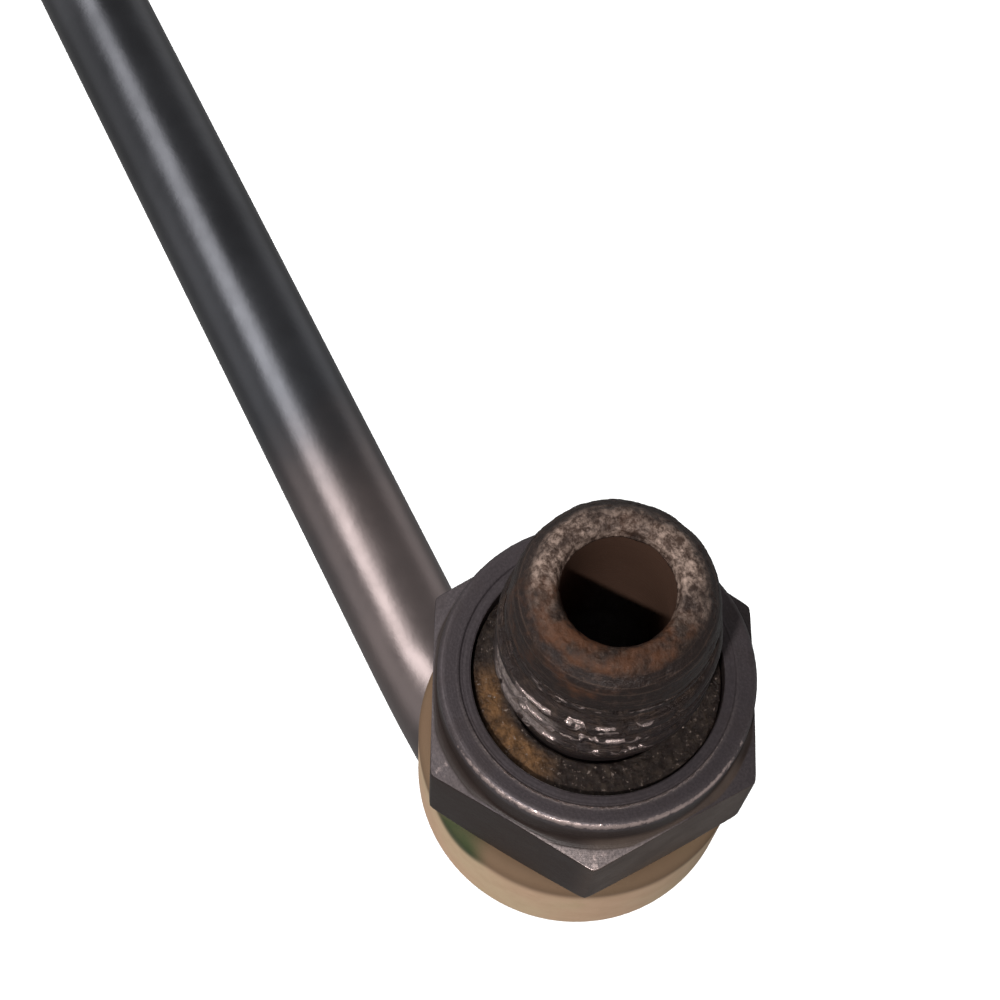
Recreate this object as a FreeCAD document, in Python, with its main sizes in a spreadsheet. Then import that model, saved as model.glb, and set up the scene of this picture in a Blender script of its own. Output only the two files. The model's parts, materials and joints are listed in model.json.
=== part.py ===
"""Swivelling fuel spout with a threaded inlet nipple, an anti-drip tip and every piece between.

Frame: +Z runs up the inlet nipple and out of its mouth, the origin is the centre of the round
land that the mating socket seats on, and the spout reaches out along +X. Millimetres.
"""
import FreeCAD, Part
import Sketcher
import math
import os
import re

SHEET = "Sizes"

# Driving dimensions: alias, value, meaning. Heights are measured from the land, so most are negative.
SIZES = [
    ("nipple_top", 17.2, "mouth of the inlet nipple above the land"),
    ("inlet_bore", 3.9, "radius of the flow bore"),
    ("nose_flat", 5.0, "radius of the flat ring round the mouth"),
    ("nose_shoulder", 6.9, "radius where the rounded nose meets the lead-in"),
    ("nose_drop", 1.1, "height of the rounded nose"),
    ("lead_in_drop", 2.6, "mouth down to the full thread radius"),
    ("thread_crest", 7.8, "radius over the thread crests"),
    ("thread_end", 3.2, "lower end of the thread"),
    ("undercut", 6.3, "radius of the relief under the thread"),
    ("recess_radius", 9.25, "radius of the seal recess"),
    ("recess_floor", -2.0, "floor of the seal recess"),
    ("land_radius", 11.7, "radius of the raised land"),
    ("land_foot", -3.7, "where the land meets the hexagon"),
    ("hex_flats", 24.0, "size over the flats"),
    ("hex_shoulder", -4.3, "lower end of the top corner chamfer"),
    ("hex_bottom", -13.8, "rear face of the hexagon"),
    ("hex_turn", 32.8, "angle of one hexagon corner from the spout, degrees"),
    ("edge_break", 0.6, "chamfer on turned edges"),
    ("journal", 7.5, "radius of the bearing journal"),
    ("journal_end", -32.0, "lower end of the journal"),
    ("strainer_bore", 4.8, "radius of the bore that holds the strainer"),
    ("strainer_top", -9.0, "upper end of the strainer bore"),
    ("seal_thick", 1.2, "thickness of the inlet seal"),
    ("seal_slack", 0.3, "gap between the inlet seal and the relief"),
    ("easy_gap", 0.1, "gap round pieces that drop in by hand"),
    ("snug_gap", 0.02, "gap round pieces that are pressed or screwed in"),
    ("washer_width", 3.8, "radial width of the thrust washer"),
    ("seal_groove", 6.0, "floor radius of the O-ring grooves"),
    ("groove_width", 2.0, "width of an O-ring groove"),
    ("front_groove", -20.2, "lower wall of the front O-ring groove"),
    ("rear_groove", -29.4, "lower wall of the rear O-ring groove"),
    ("ring_cord", 0.72, "radius of the O-ring section"),
    ("race_height", -23.8, "height of the ball race"),
    ("race_radius", 8.0, "pitch radius of the ball race"),
    ("race_section", 1.55, "radius of the race section"),
    ("ball_radius", 1.5, "bearing ball radius"),
    ("clip_groove", 5.1, "floor radius of the strainer clip groove"),
    ("clip_top", -30.2, "upper face of the strainer clip"),
    ("clip_thick", 0.8, "thickness of the strainer clip"),
    ("strainer_lid", -11.0, "upper face of the strainer"),
    ("strainer_cup", 3.8, "outer radius of the strainer cup"),
    ("strainer_wall", 0.4, "wall thickness of the strainer"),
    ("strainer_flange", 0.9, "thickness of the strainer flange"),
    ("strainer_slot", 1.1, "width of a strainer slot"),
    ("slot_margin", 1.6, "metal left beyond the ends of a strainer slot"),
    ("running_gap", 0.05, "radial gap between journal and collar"),
    ("collar_radius", 13.0, "radius of the swivel collar"),
    ("collar_front", -15.0, "front face of the collar"),
    ("collar_rear", -26.3, "rear rim of the collar"),
    ("collar_neck", 9.0, "radius of the collar neck"),
    ("neck_end", -40.0, "lower end of the collar neck"),
    ("chamber_end", -32.6, "floor of the collar bore"),
    ("passage", 5.0, "radius of the passage under the journal"),
    ("wiper_pocket", 9.6, "radius of the dust seal pocket"),
    ("wiper_depth", 2.0, "depth of the dust seal pocket"),
    ("plug_hole", 2.0, "radius of the ball filling hole"),
    ("plug_turn", 320.0, "angle of the filling hole from the spout, degrees"),
    ("plug_inner", 9.7, "inner end of the filling plug from the axis"),
    ("plug_sink", 0.1, "depth of the filling plug below the collar"),
    ("plug_chamfer", 0.2, "chamfer of the filling plug"),
    ("driver_slot", 0.6, "width of the driver slot in the filling plug"),
    ("driver_depth", 1.0, "depth of the driver slot"),
    ("tube_radius", 6.0, "outer radius of the spout tube"),
    ("tube_bore", 4.75, "inner radius of the spout tube"),
    ("tube_start", -34.0, "tube end inside the collar"),
    ("bend_radius", 29.0, "centreline radius of both bends"),
    ("run_height", -71.0, "height of the long straight run"),
    ("tip_x", 216.0, "distance from the inlet axis to the tip axis"),
    ("tube_end", -116.0, "tube end inside the tip adapter"),
    ("socket_fit", 0.03, "radial gap of a brazed socket"),
    ("braze_width", 1.6, "leg of a braze fillet"),
    ("braze_toe", 0.15, "thickness of a braze fillet at its toe"),
    ("braze_gap", 0.01, "gap between a braze fillet and the tube"),
    ("adapter_top", -106.0, "upper face of the tip adapter"),
    ("adapter_neck", 8.4, "radius of the adapter neck"),
    ("adapter_flats", 19.0, "adapter hexagon over the flats"),
    ("adapter_hex_top", -113.0, "upper face of the adapter hexagon"),
    ("adapter_hex_end", -121.0, "lower face of the adapter hexagon"),
    ("adapter_chamfer", 0.9, "height of the adapter hexagon's chamfers"),
    ("throat_top", -119.0, "upper end of the cone above the seat bore"),
    ("throat_end", -121.0, "lower end of that cone"),
    ("spigot", 7.0, "radius of the adapter spigot"),
    ("valve_seat", -130.0, "valve seat at the end of the spigot"),
    ("seat_bore", 3.0, "radius of the seat bore"),
    ("gasket_thick", 0.8, "thickness of the copper gasket"),
    ("nose_radius", 9.5, "radius of the tip nose"),
    ("spigot_clear", 0.5, "depth of the nose bore past the valve seat"),
    ("grip_first", 6.5, "first grip groove below the adapter hexagon"),
    ("grip_pitch", 4.0, "distance between grip grooves"),
    ("grip_depth", 0.5, "depth of a grip groove"),
    ("grip_width", 3.0, "width of a grip groove's cutter"),
    ("nose_taper", -150.0, "where the tip nose starts to taper"),
    ("nose_end", -168.0, "mouth of the tip"),
    ("mouth_radius", 6.2, "outer radius at the mouth"),
    ("chamber", 6.1, "radius of the valve chamber"),
    ("chamber_floor", -151.0, "lower end of the valve chamber"),
    ("chamber_cone", 2.0, "height of the cone under the valve chamber"),
    ("outlet_bore", 4.0, "radius of the outlet bore"),
    ("poppet_head", 4.6, "radius of the poppet head"),
    ("head_top", -130.9, "upper face of the poppet head"),
    ("head_base", -132.6, "lower face of the poppet head"),
    ("poppet_stem", 1.5, "radius of the poppet stem"),
    ("stem_cone", 0.8, "height of the cone under the poppet head"),
    ("stem_chamfer", 0.4, "chamfer at the end of the poppet stem"),
    ("stub_top", -129.1, "upper face of the stub that holds the poppet seal"),
    ("stem_end", -147.0, "lower end of the poppet stem"),
    ("spigot_stub", 1.9, "radius of the stub that holds the poppet seal"),
    ("seal_outer", 4.4, "outer radius of the poppet seal"),
    ("spring_mean", 3.1, "mean radius of the valve spring"),
    ("spring_wire", 0.4, "radius of the spring wire"),
    ("spring_turns", 5.0, "turns of the valve spring"),
    ("spring_gap", 0.9, "gap between the valve spring and the poppet head"),
    ("spider_top", -143.6, "upper face of the spring seat"),
    ("spider_thick", 1.6, "thickness of the spring seat"),
    ("guide_bore", 1.56, "radius of the stem guide"),
    ("spider_hole", 0.95, "radius of a flow hole in the spring seat"),
    ("spider_gap", 0.03, "gap round the spring seat"),
    ("spider_ring", 4.6, "pitch radius of the flow holes"),
    ("clip_ledge", 1.0, "radial depth that a clip stands into its bore"),
    ("clip_gap", 0.05, "gap between a clip and its groove's floor"),
    ("seat_clip_thick", 0.9, "thickness of the clip under the spring seat"),
    ("seat_clip_groove", 6.8, "floor radius of that clip's groove"),
]
BALLS = 13
STRAINER_SLOTS = 4
SPIDER_HOLES = 6
GRIP_GROOVES = 3
RIGHT_THROUGH = 40
STRAINER_CLIP_OPENING = 2.4
SEAT_CLIP_OPENING = 3

doc = FreeCAD.newDocument("FuelSpout")
sheet = doc.addObject("Spreadsheet::Sheet", SHEET)
for row, (alias, value, meaning) in enumerate(SIZES, start=1):
    sheet.set(f"A{row}", meaning)
    sheet.set(f"B{row}", str(value))
    sheet.setAlias(f"B{row}", alias)
doc.recompute()
nodes = []


def bound(text):
    """Turn bare aliases into references to the sheet, leaving function names alone."""
    return re.sub(r"[A-Za-z_]\w*(?![\w(])", lambda word: f"{SHEET}.{word.group()}", text)


def measure(text):
    """Return the number that a sizing expression has now."""
    value = sheet.evalExpression(bound(text))
    return float(getattr(value, "Value", value))


def new_body(label):
    """Start a body that becomes one node."""
    body = doc.addObject("PartDesign::Body", label)
    body.Label = label
    nodes.append(body)
    return body


def new_sketch(body, name, plane, offset=None):
    """Attach a sketch to one of the body's own origin planes."""
    sketch = body.newObject("Sketcher::SketchObject", name)
    support = next(item for item in body.Origin.OriginFeatures if item.Role == plane)
    sketch.AttachmentSupport = [(support, "")]
    sketch.MapMode = "FlatFace"
    if offset:
        sketch.AttachmentOffset = offset
    return sketch


def pin_point(sketch, line, text_x, text_y):
    """Tie the start of a line to two sizing expressions."""
    for kind, text in (("DistanceX", text_x), ("DistanceY", text_y)):
        index = sketch.addConstraint(Sketcher.Constraint(kind, -1, 1, line, 1, measure(text)))
        sketch.setExpression(f"Constraints[{index}]", bound(text))


def outline(sketch, points):
    """Draw a closed outline whose corners are all bound to the sheet."""
    spots = [FreeCAD.Vector(measure(x), measure(y), 0) for x, y in points]
    first = sketch.GeometryCount
    for start, end in zip(spots, spots[1:] + spots[:1]):
        sketch.addGeometry(Part.LineSegment(start, end), False)
    for step, (text_x, text_y) in enumerate(points):
        following = first + (step + 1) % len(points)
        sketch.addConstraint(Sketcher.Constraint("Coincident", first + step, 2, following, 1))
        pin_point(sketch, first + step, text_x, text_y)


def round_outline(sketch, text_radius, text_x="0", text_y="0"):
    """Draw a circle whose radius is bound to the sheet."""
    centre = FreeCAD.Vector(measure(text_x), measure(text_y), 0)
    circle = sketch.addGeometry(Part.Circle(centre, FreeCAD.Vector(0, 0, 1), measure(text_radius)), False)
    size = sketch.addConstraint(Sketcher.Constraint("Radius", circle, measure(text_radius)))
    sketch.setExpression(f"Constraints[{size}]", bound(text_radius))
    for kind, text in (("DistanceX", text_x), ("DistanceY", text_y)):
        if text != "0":
            place = sketch.addConstraint(Sketcher.Constraint(kind, -1, 1, circle, 3, measure(text)))
            sketch.setExpression(f"Constraints[{place}]", bound(text))
    if text_x == text_y == "0":
        sketch.addConstraint(Sketcher.Constraint("Coincident", circle, 3, -1, 1))
    elif text_x == "0":
        sketch.addConstraint(Sketcher.Constraint("PointOnObject", circle, 3, -2))
    elif text_y == "0":
        sketch.addConstraint(Sketcher.Constraint("PointOnObject", circle, 3, -1))


def turned(body, name, points, cut=False):
    """Revolve an outline of (radius, height) corners about Z, as material or as a groove."""
    sketch = new_sketch(body, f"{name}Outline", "XZ_Plane")
    outline(sketch, points)
    feature = body.newObject("PartDesign::Groove" if cut else "PartDesign::Revolution", name)
    feature.Profile = sketch
    feature.ReferenceAxis = (sketch, ["V_Axis"])
    feature.Angle = 360
    doc.recompute()
    return feature


def ring_groove(body, name, cord, radius, height):
    """Turn a groove of round section, given its section radius, pitch radius and height."""
    sketch = new_sketch(body, f"{name}Outline", "XZ_Plane")
    round_outline(sketch, cord, radius, height)
    feature = body.newObject("PartDesign::Groove", name)
    feature.Profile = sketch
    feature.ReferenceAxis = (sketch, ["V_Axis"])
    feature.Angle = 360
    doc.recompute()


def hexagon(body, name, flats, top, bottom, turn="0"):
    """Mill the body down to a hexagon between two heights."""
    offset = FreeCAD.Placement(
        FreeCAD.Vector(0, 0, measure(top)), FreeCAD.Rotation(FreeCAD.Vector(0, 0, 1), measure(turn)))
    sketch = new_sketch(body, f"{name}Outline", "XY_Plane", offset)
    sketch.setExpression("AttachmentOffset.Base.z", bound(top))
    corner, half = f"{flats} / sqrt(3)", f"{flats} / 2"
    outline(sketch, [
        (corner, "0"), (f"{corner} / 2", half), (f"-{corner} / 2", half),
        (f"-{corner}", "0"), (f"-{corner} / 2", f"-{half}"), (f"{corner} / 2", f"-{half}")])
    round_outline(sketch, flats)
    feature = body.newObject("PartDesign::Pocket", name)
    feature.Profile = sketch
    feature.setExpression("Length", bound(f"{top} - {bottom}"))
    doc.recompute()


def polar(body, name, feature, count):
    """Repeat a feature about the body's Z axis."""
    pattern = body.newObject("PartDesign::PolarPattern", name)
    pattern.Originals = [feature]
    pattern.Axis = (next(item for item in body.Origin.OriginFeatures if item.Role == "Z_Axis"), [""])
    pattern.Angle = 360
    pattern.Occurrences = count
    body.Tip = pattern
    doc.recompute()


def side_gap(body, name, points, length=RIGHT_THROUGH):
    """Cut an outline drawn in the XZ plane through the body, along Y."""
    sketch = new_sketch(body, f"{name}Outline", "XZ_Plane")
    outline(sketch, points)
    feature = body.newObject("PartDesign::Pocket", name)
    feature.Profile = sketch
    feature.Midplane = True
    feature.Length = length
    doc.recompute()
    return feature


def plain_ring(label, inner, outer, top, bottom):
    """Make a node that is a flat ring with square edges."""
    body = new_body(label)
    turned(body, f"{label}Ring", [(inner, bottom), (outer, bottom), (outer, top), (inner, top)])
    return body


def cord_ring(label, radius, height):
    """Make an O-ring node as a torus."""
    ring = doc.addObject("Part::Torus", label)
    ring.Label = label
    ring.setExpression("Radius1", bound(radius))
    ring.setExpression("Radius2", bound("ring_cord"))
    ring.setExpression("Placement.Base.z", bound(height))
    nodes.append(ring)


def on_tip_axis(item):
    """Move a piece that was drawn about Z onto the tip's own axis."""
    item.setExpression("Placement.Base.x", bound("tip_x"))


# ---- inlet stem: nipple, seal recess, land, hexagon and journal, turned from one bar ----
hex_corner = "hex_flats / sqrt(3)"
stem = new_body("inlet_stem")
turned(stem, "StemTurning", [
    ("inlet_bore", "nipple_top"),
    ("nose_flat", "nipple_top"),
    ("nose_shoulder", "nipple_top - nose_drop"),
    ("thread_crest", "nipple_top - lead_in_drop"),
    ("thread_crest", "thread_end"),
    ("undercut", "thread_end - edge_break"),
    ("undercut", "recess_floor"),
    ("recess_radius", "recess_floor"),
    ("recess_radius", "0"),
    ("land_radius", "0"),
    ("land_radius", "land_foot"),
    (hex_corner, "hex_shoulder"),
    (hex_corner, "hex_bottom + edge_break"),
    ("hex_flats / 2", "hex_bottom"),
    ("journal", "hex_bottom"),
    ("journal", "journal_end + edge_break"),
    ("journal - edge_break", "journal_end"),
    ("strainer_bore", "journal_end"),
    ("strainer_bore", "strainer_top"),
    ("inlet_bore", "strainer_top"),
])
hexagon(stem, "StemHexagon", "hex_flats", "land_foot", "hex_bottom", "hex_turn")
for name, wall in (("FrontSealGroove", "front_groove"), ("RearSealGroove", "rear_groove")):
    turned(stem, name, [
        ("seal_groove", wall), ("journal + 1", wall),
        ("journal + 1", f"{wall} + groove_width"), ("seal_groove", f"{wall} + groove_width")], cut=True)
ring_groove(stem, "StemRace", "race_section", "race_radius", "race_height")
turned(stem, "ClipGroove", [
    ("strainer_bore - clip_ledge", "clip_top - clip_thick"), ("clip_groove", "clip_top - clip_thick"),
    ("clip_groove", "clip_top"), ("strainer_bore - clip_ledge", "clip_top")], cut=True)

# ---- pieces carried by the stem ----
plain_ring("inlet_seal", "undercut + seal_slack", "recess_radius - easy_gap",
           "recess_floor + seal_thick", "recess_floor")
cord_ring("front_o_ring", "seal_groove + ring_cord + snug_gap", "front_groove + groove_width / 2")
cord_ring("rear_o_ring", "seal_groove + ring_cord + snug_gap", "rear_groove + groove_width / 2")
plain_ring("thrust_washer", "journal + easy_gap", "journal + easy_gap + washer_width",
           "hex_bottom", "collar_front + easy_gap")

strainer = new_body("inlet_strainer")
flange_top = "clip_top + strainer_flange"
strainer_bore_in = "strainer_cup - strainer_wall"
turned(strainer, "StrainerShell", [
    ("0", "strainer_lid"), ("strainer_cup", "strainer_lid"), ("strainer_cup", flange_top),
    ("strainer_bore - clip_gap", flange_top), ("strainer_bore - clip_gap", "clip_top"),
    (strainer_bore_in, "clip_top"), (strainer_bore_in, "strainer_lid - strainer_wall"),
    ("0", "strainer_lid - strainer_wall")])
slot_low, slot_high = f"{flange_top} + slot_margin", "strainer_lid - strainer_wall - slot_margin"
slot = side_gap(strainer, "StrainerSlot", [
    ("-strainer_slot / 2", slot_low), ("strainer_slot / 2", slot_low),
    ("strainer_slot / 2", slot_high), ("-strainer_slot / 2", slot_high)])
polar(strainer, "StrainerSlots", slot, STRAINER_SLOTS)

clip_base = "clip_top - clip_thick"
strainer_clip = plain_ring(
    "strainer_clip", "strainer_bore - clip_ledge", "clip_groove - clip_gap", "clip_top", clip_base)
side_gap(strainer_clip, "StrainerClipGap", [
    ("0", "clip_top + 1"), ("clip_groove + 1", "clip_top + 1"),
    ("clip_groove + 1", f"{clip_base} - 1"), ("0", f"{clip_base} - 1")], STRAINER_CLIP_OPENING)

# ---- swivel collar with its ball race, filling plug and dust seal ----
collar = new_body("swivel_collar")
turned(collar, "CollarTurning", [
    ("journal + running_gap", "collar_front - wiper_depth"),
    ("wiper_pocket", "collar_front - wiper_depth"),
    ("wiper_pocket", "collar_front"),
    ("collar_radius - edge_break", "collar_front"),
    ("collar_radius", "collar_front - edge_break"),
    ("collar_radius", "collar_rear + edge_break"),
    ("collar_radius - edge_break", "collar_rear"),
    ("collar_neck", "collar_rear"),
    ("collar_neck", "neck_end + edge_break"),
    ("collar_neck - edge_break", "neck_end"),
    ("tube_radius + socket_fit", "neck_end"),
    ("tube_radius + socket_fit", "tube_start"),
    ("passage", "tube_start"),
    ("passage", "chamber_end"),
    ("journal + running_gap", "chamber_end"),
])
ring_groove(collar, "CollarRace", "race_section", "race_radius", "race_height")
radial = FreeCAD.Placement(
    FreeCAD.Vector(0, 0, 0), FreeCAD.Rotation(FreeCAD.Vector(0, 1, 0), measure("plug_turn") + 90))
plug_sketch = new_sketch(collar, "FillingHoleOutline", "XZ_Plane", radial)
round_outline(plug_sketch, "plug_hole", "0", "race_height")
filling_hole = collar.newObject("PartDesign::Pocket", "FillingHole")
filling_hole.Profile = plug_sketch
filling_hole.setExpression("Length", bound("collar_radius + 1"))
filling_hole.Reversed = True
doc.recompute()

plain_ring("dust_seal", "journal + easy_gap", "wiper_pocket - snug_gap",
           "collar_front", "collar_front - wiper_depth")

balls = []
for step in range(BALLS):
    ball = doc.addObject("Part::Sphere", f"BearingBall{step}")
    turn = f"({step} + 0.5) * {360 / BALLS}"
    ball.setExpression("Radius", bound("ball_radius"))
    ball.setExpression("Placement.Base.x", bound("race_radius") + f" * cos({turn} * 1deg)")
    ball.setExpression("Placement.Base.y", bound("race_radius") + f" * sin({turn} * 1deg)")
    ball.setExpression("Placement.Base.z", bound("race_height"))
    balls.append(ball)
ball_set = doc.addObject("Part::Compound", "bearing_balls")
ball_set.Label = "bearing_balls"
ball_set.Links = balls
nodes.append(ball_set)

plug = new_body("ball_plug")
plug_radius, plug_top = "plug_hole - snug_gap", "collar_radius - plug_sink"
turned(plug, "PlugTurning", [
    ("0", "plug_inner"), (plug_radius, "plug_inner"), (plug_radius, f"{plug_top} - plug_chamfer"),
    (f"{plug_radius} - plug_chamfer", plug_top), ("0", plug_top)])
side_gap(plug, "DriverSlot", [
    ("-driver_slot / 2", f"{plug_top} - driver_depth"), ("driver_slot / 2", f"{plug_top} - driver_depth"),
    ("driver_slot / 2", f"{plug_top} + 1"), ("-driver_slot / 2", f"{plug_top} + 1")])
plug_heading = FreeCAD.Rotation(FreeCAD.Vector(0, 0, 1), measure("plug_turn"))
plug.Placement = FreeCAD.Placement(
    FreeCAD.Vector(0, 0, measure("race_height")),
    plug_heading.multiply(FreeCAD.Rotation(FreeCAD.Vector(0, 1, 0), 90)))


# ---- spout tube: down from the collar, out along +X, down again into the tip ----
def tube_path(sketch):
    """Draw the tube's centreline as tangent straight runs and arcs."""
    bend, run, tip = measure("bend_radius"), measure("run_height"), measure("tip_x")
    start, end = measure("tube_start"), measure("tube_end")
    upright = FreeCAD.Vector(0, 0, 1)

    def spot(x, y):
        return FreeCAD.Vector(x, y, 0)

    def quarter(centre, first):
        circle = Part.Circle(centre, upright, bend)
        return Part.ArcOfCircle(circle, math.radians(first), math.radians(first + 90))

    sketch.addGeometry([
        Part.LineSegment(spot(0, start), spot(0, run + bend)),
        quarter(spot(bend, run + bend), 180),
        Part.LineSegment(spot(bend, run), spot(tip - bend, run)),
        quarter(spot(tip - bend, run - bend), 0),
        Part.LineSegment(spot(tip, run - bend), spot(tip, end)),
    ], False)
    joins = [(0, 2, 1, 1), (1, 2, 2, 1), (2, 2, 3, 2), (3, 1, 4, 1)]
    for join in joins:
        sketch.addConstraint(Sketcher.Constraint("Tangent", *join))
    sketch.addConstraint(Sketcher.Constraint("Vertical", 0))
    sketch.addConstraint(Sketcher.Constraint("Horizontal", 2))
    sketch.addConstraint(Sketcher.Constraint("Vertical", 4))
    sketch.addConstraint(Sketcher.Constraint("PointOnObject", 0, 1, -2))
    for line, text in ((1, "bend_radius"), (3, "bend_radius")):
        index = sketch.addConstraint(Sketcher.Constraint("Radius", line, measure(text)))
        sketch.setExpression(f"Constraints[{index}]", bound(text))
    for kind, line, point, text in (
            ("DistanceY", 0, 1, "tube_start"), ("DistanceY", 2, 1, "run_height"),
            ("DistanceX", 4, 2, "tip_x"), ("DistanceY", 4, 2, "tube_end")):
        index = sketch.addConstraint(Sketcher.Constraint(kind, -1, 1, line, point, measure(text)))
        sketch.setExpression(f"Constraints[{index}]", bound(text))


tube = new_body("spout_tube")
centreline = new_sketch(tube, "TubeCentreline", "XZ_Plane")
tube_path(centreline)
section_place = FreeCAD.Placement(FreeCAD.Vector(0, 0, measure("tube_start")), FreeCAD.Rotation())
section = new_sketch(tube, "TubeSection", "XY_Plane", section_place)
section.setExpression("AttachmentOffset.Base.z", bound("tube_start"))
round_outline(section, "tube_radius")
round_outline(section, "tube_bore")
doc.recompute()
sweep = tube.newObject("PartDesign::AdditivePipe", "TubeSweep")
sweep.Profile = section
sweep.Spine = (centreline, [f"Edge{number}" for number in range(1, 6)])
doc.recompute()


def braze_fillet(label, face, downwards):
    """Make the small cone of braze metal where the tube leaves a socket."""
    body = new_body(label)
    leg = f"{face} {'-' if downwards else '+'} braze_width"
    turned(body, f"{label}Fillet", [
        ("tube_radius + braze_gap", face), ("tube_radius + braze_width", face),
        ("tube_radius + braze_toe", leg), ("tube_radius + braze_gap", leg)])
    return body


braze_fillet("collar_braze", "neck_end", True)
on_tip_axis(braze_fillet("tip_braze", "adapter_top", False))

# ---- tip adapter: brazed to the tube, ends in the valve seat ----
adapter_corner = "adapter_flats / sqrt(3)"
adapter = new_body("tip_adapter")
turned(adapter, "AdapterTurning", [
    ("tube_radius + socket_fit", "adapter_top"),
    ("adapter_neck - edge_break", "adapter_top"),
    ("adapter_neck", "adapter_top - edge_break"),
    ("adapter_neck", "adapter_hex_top"),
    ("adapter_flats / 2", "adapter_hex_top"),
    (adapter_corner, "adapter_hex_top - adapter_chamfer"),
    (adapter_corner, "adapter_hex_end + adapter_chamfer"),
    ("adapter_flats / 2", "adapter_hex_end"),
    ("spigot", "adapter_hex_end"),
    ("spigot", "valve_seat + edge_break"),
    ("spigot - edge_break", "valve_seat"),
    ("seat_bore", "valve_seat"),
    ("seat_bore", "throat_end"),
    ("tube_bore", "throat_top"),
    ("tube_bore", "tube_end"),
    ("tube_radius + socket_fit", "tube_end"),
])
hexagon(adapter, "AdapterHexagon", "adapter_flats", "adapter_hex_top", "adapter_hex_end")
on_tip_axis(adapter)
nose_top = "adapter_hex_end - gasket_thick"
on_tip_axis(plain_ring(
    "tip_gasket", "spigot + easy_gap", "nose_radius - edge_break / 2", "adapter_hex_end", nose_top))

# ---- tip nose: screwed on the spigot, holds the anti-drip valve ----
nose = new_body("tip_nose")
turned(nose, "NoseTurning", [
    ("spigot + snug_gap", nose_top),
    ("nose_radius - edge_break", nose_top),
    ("nose_radius", f"{nose_top} - edge_break"),
    ("nose_radius", "nose_taper"),
    ("mouth_radius", "nose_end + edge_break"),
    ("mouth_radius - edge_break", "nose_end"),
    ("outlet_bore", "nose_end"),
    ("outlet_bore", "chamber_floor - chamber_cone"),
    ("chamber", "chamber_floor"),
    ("chamber", "valve_seat - spigot_clear"),
    ("spigot + snug_gap", "valve_seat - spigot_clear"),
])
for step in range(GRIP_GROOVES):
    grip = f"adapter_hex_end - grip_first - {step} * grip_pitch"
    turned(nose, f"GripGroove{step}", [
        ("nose_radius - grip_depth", grip), ("nose_radius + 1", f"{grip} - grip_width / 2"),
        ("nose_radius + 1", f"{grip} + grip_width / 2")], cut=True)
seat_clip_top = "spider_top - spider_thick"
seat_clip_base = f"{seat_clip_top} - seat_clip_thick"
turned(nose, "SeatClipGroove", [
    ("chamber - clip_ledge", seat_clip_base), ("seat_clip_groove", seat_clip_base),
    ("seat_clip_groove", seat_clip_top), ("chamber - clip_ledge", seat_clip_top)], cut=True)
on_tip_axis(nose)

# ---- anti-drip valve: poppet, seal, spring, spring seat and its clip ----
poppet = new_body("valve_poppet")
turned(poppet, "PoppetTurning", [
    ("0", "stub_top"), ("spigot_stub", "stub_top"), ("spigot_stub", "head_top"),
    ("poppet_head", "head_top"), ("poppet_head", "head_base"), ("poppet_stem", "head_base - stem_cone"),
    ("poppet_stem", "stem_end + stem_chamfer"), ("poppet_stem - stem_chamfer", "stem_end"),
    ("0", "stem_end")])
on_tip_axis(poppet)
on_tip_axis(plain_ring(
    "poppet_seal", "spigot_stub + snug_gap", "seal_outer", "valve_seat - snug_gap", "head_top"))

spider = plain_ring("spring_seat", "guide_bore", "chamber - spider_gap", "spider_top", seat_clip_top)
hole_sketch = new_sketch(spider, "FlowHoleOutline", "XY_Plane")
round_outline(hole_sketch, "spider_hole", "spider_ring")
hole_sketch.setExpression("AttachmentOffset.Base.z", bound("spider_top"))
flow_hole = spider.newObject("PartDesign::Pocket", "FlowHole")
flow_hole.Profile = hole_sketch
flow_hole.setExpression("Length", bound("spider_thick"))
doc.recompute()
polar(spider, "FlowHoles", flow_hole, SPIDER_HOLES)
on_tip_axis(spider)

seat_clip = plain_ring(
    "seat_clip", "chamber - clip_ledge", "seat_clip_groove - clip_gap", seat_clip_top, seat_clip_base)
side_gap(seat_clip, "SeatClipGap", [
    ("0", "spider_top"), ("seat_clip_groove + 1", "spider_top"),
    ("seat_clip_groove + 1", f"{seat_clip_base} - 1"), ("0", f"{seat_clip_base} - 1")], SEAT_CLIP_OPENING)
on_tip_axis(seat_clip)

spring_top = measure("head_base - spring_wire - spring_gap")
spring_bottom = measure("spider_top + spring_wire + snug_gap")
spring_pitch = (spring_top - spring_bottom) / measure("spring_turns")
helix = Part.makeHelix(spring_pitch, spring_top - spring_bottom, measure("spring_mean"))
wire_start = Part.Circle(
    FreeCAD.Vector(measure("spring_mean"), 0, 0), FreeCAD.Vector(0, 1, 0), measure("spring_wire"))
coil = Part.Wire(helix).makePipeShell([Part.Wire(wire_start.toShape())], True, True)
spring = doc.addObject("Part::Feature", "valve_spring")
spring.Label = "valve_spring"
spring.Shape = coil
spring.Placement = FreeCAD.Placement(FreeCAD.Vector(measure("tip_x"), 0, spring_bottom), FreeCAD.Rotation())
nodes.append(spring)

# ---- check every object and write one file for each node ----
doc.recompute()
for item in doc.Objects:
    for state in ("Invalid", "Error"):
        if state in item.State:
            raise RuntimeError(f"{item.Name} is {state}")
os.makedirs("parts", exist_ok=True)
for node in nodes:
    shape = node.Shape
    if shape.isNull() or not shape.isValid():
        raise RuntimeError(f"{node.Label} has no valid shape")
    shape.exportStep(f"parts/{node.Label}.step")
    print(f"{node.Label:16s} solids {len(shape.Solids):2d}  volume {shape.Volume:9.1f} mm3")
print("nodes", len(nodes))
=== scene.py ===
"""Looks of a swivelling fuel spout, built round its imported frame: nipple, hexagon, collar, tube and tip."""

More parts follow.
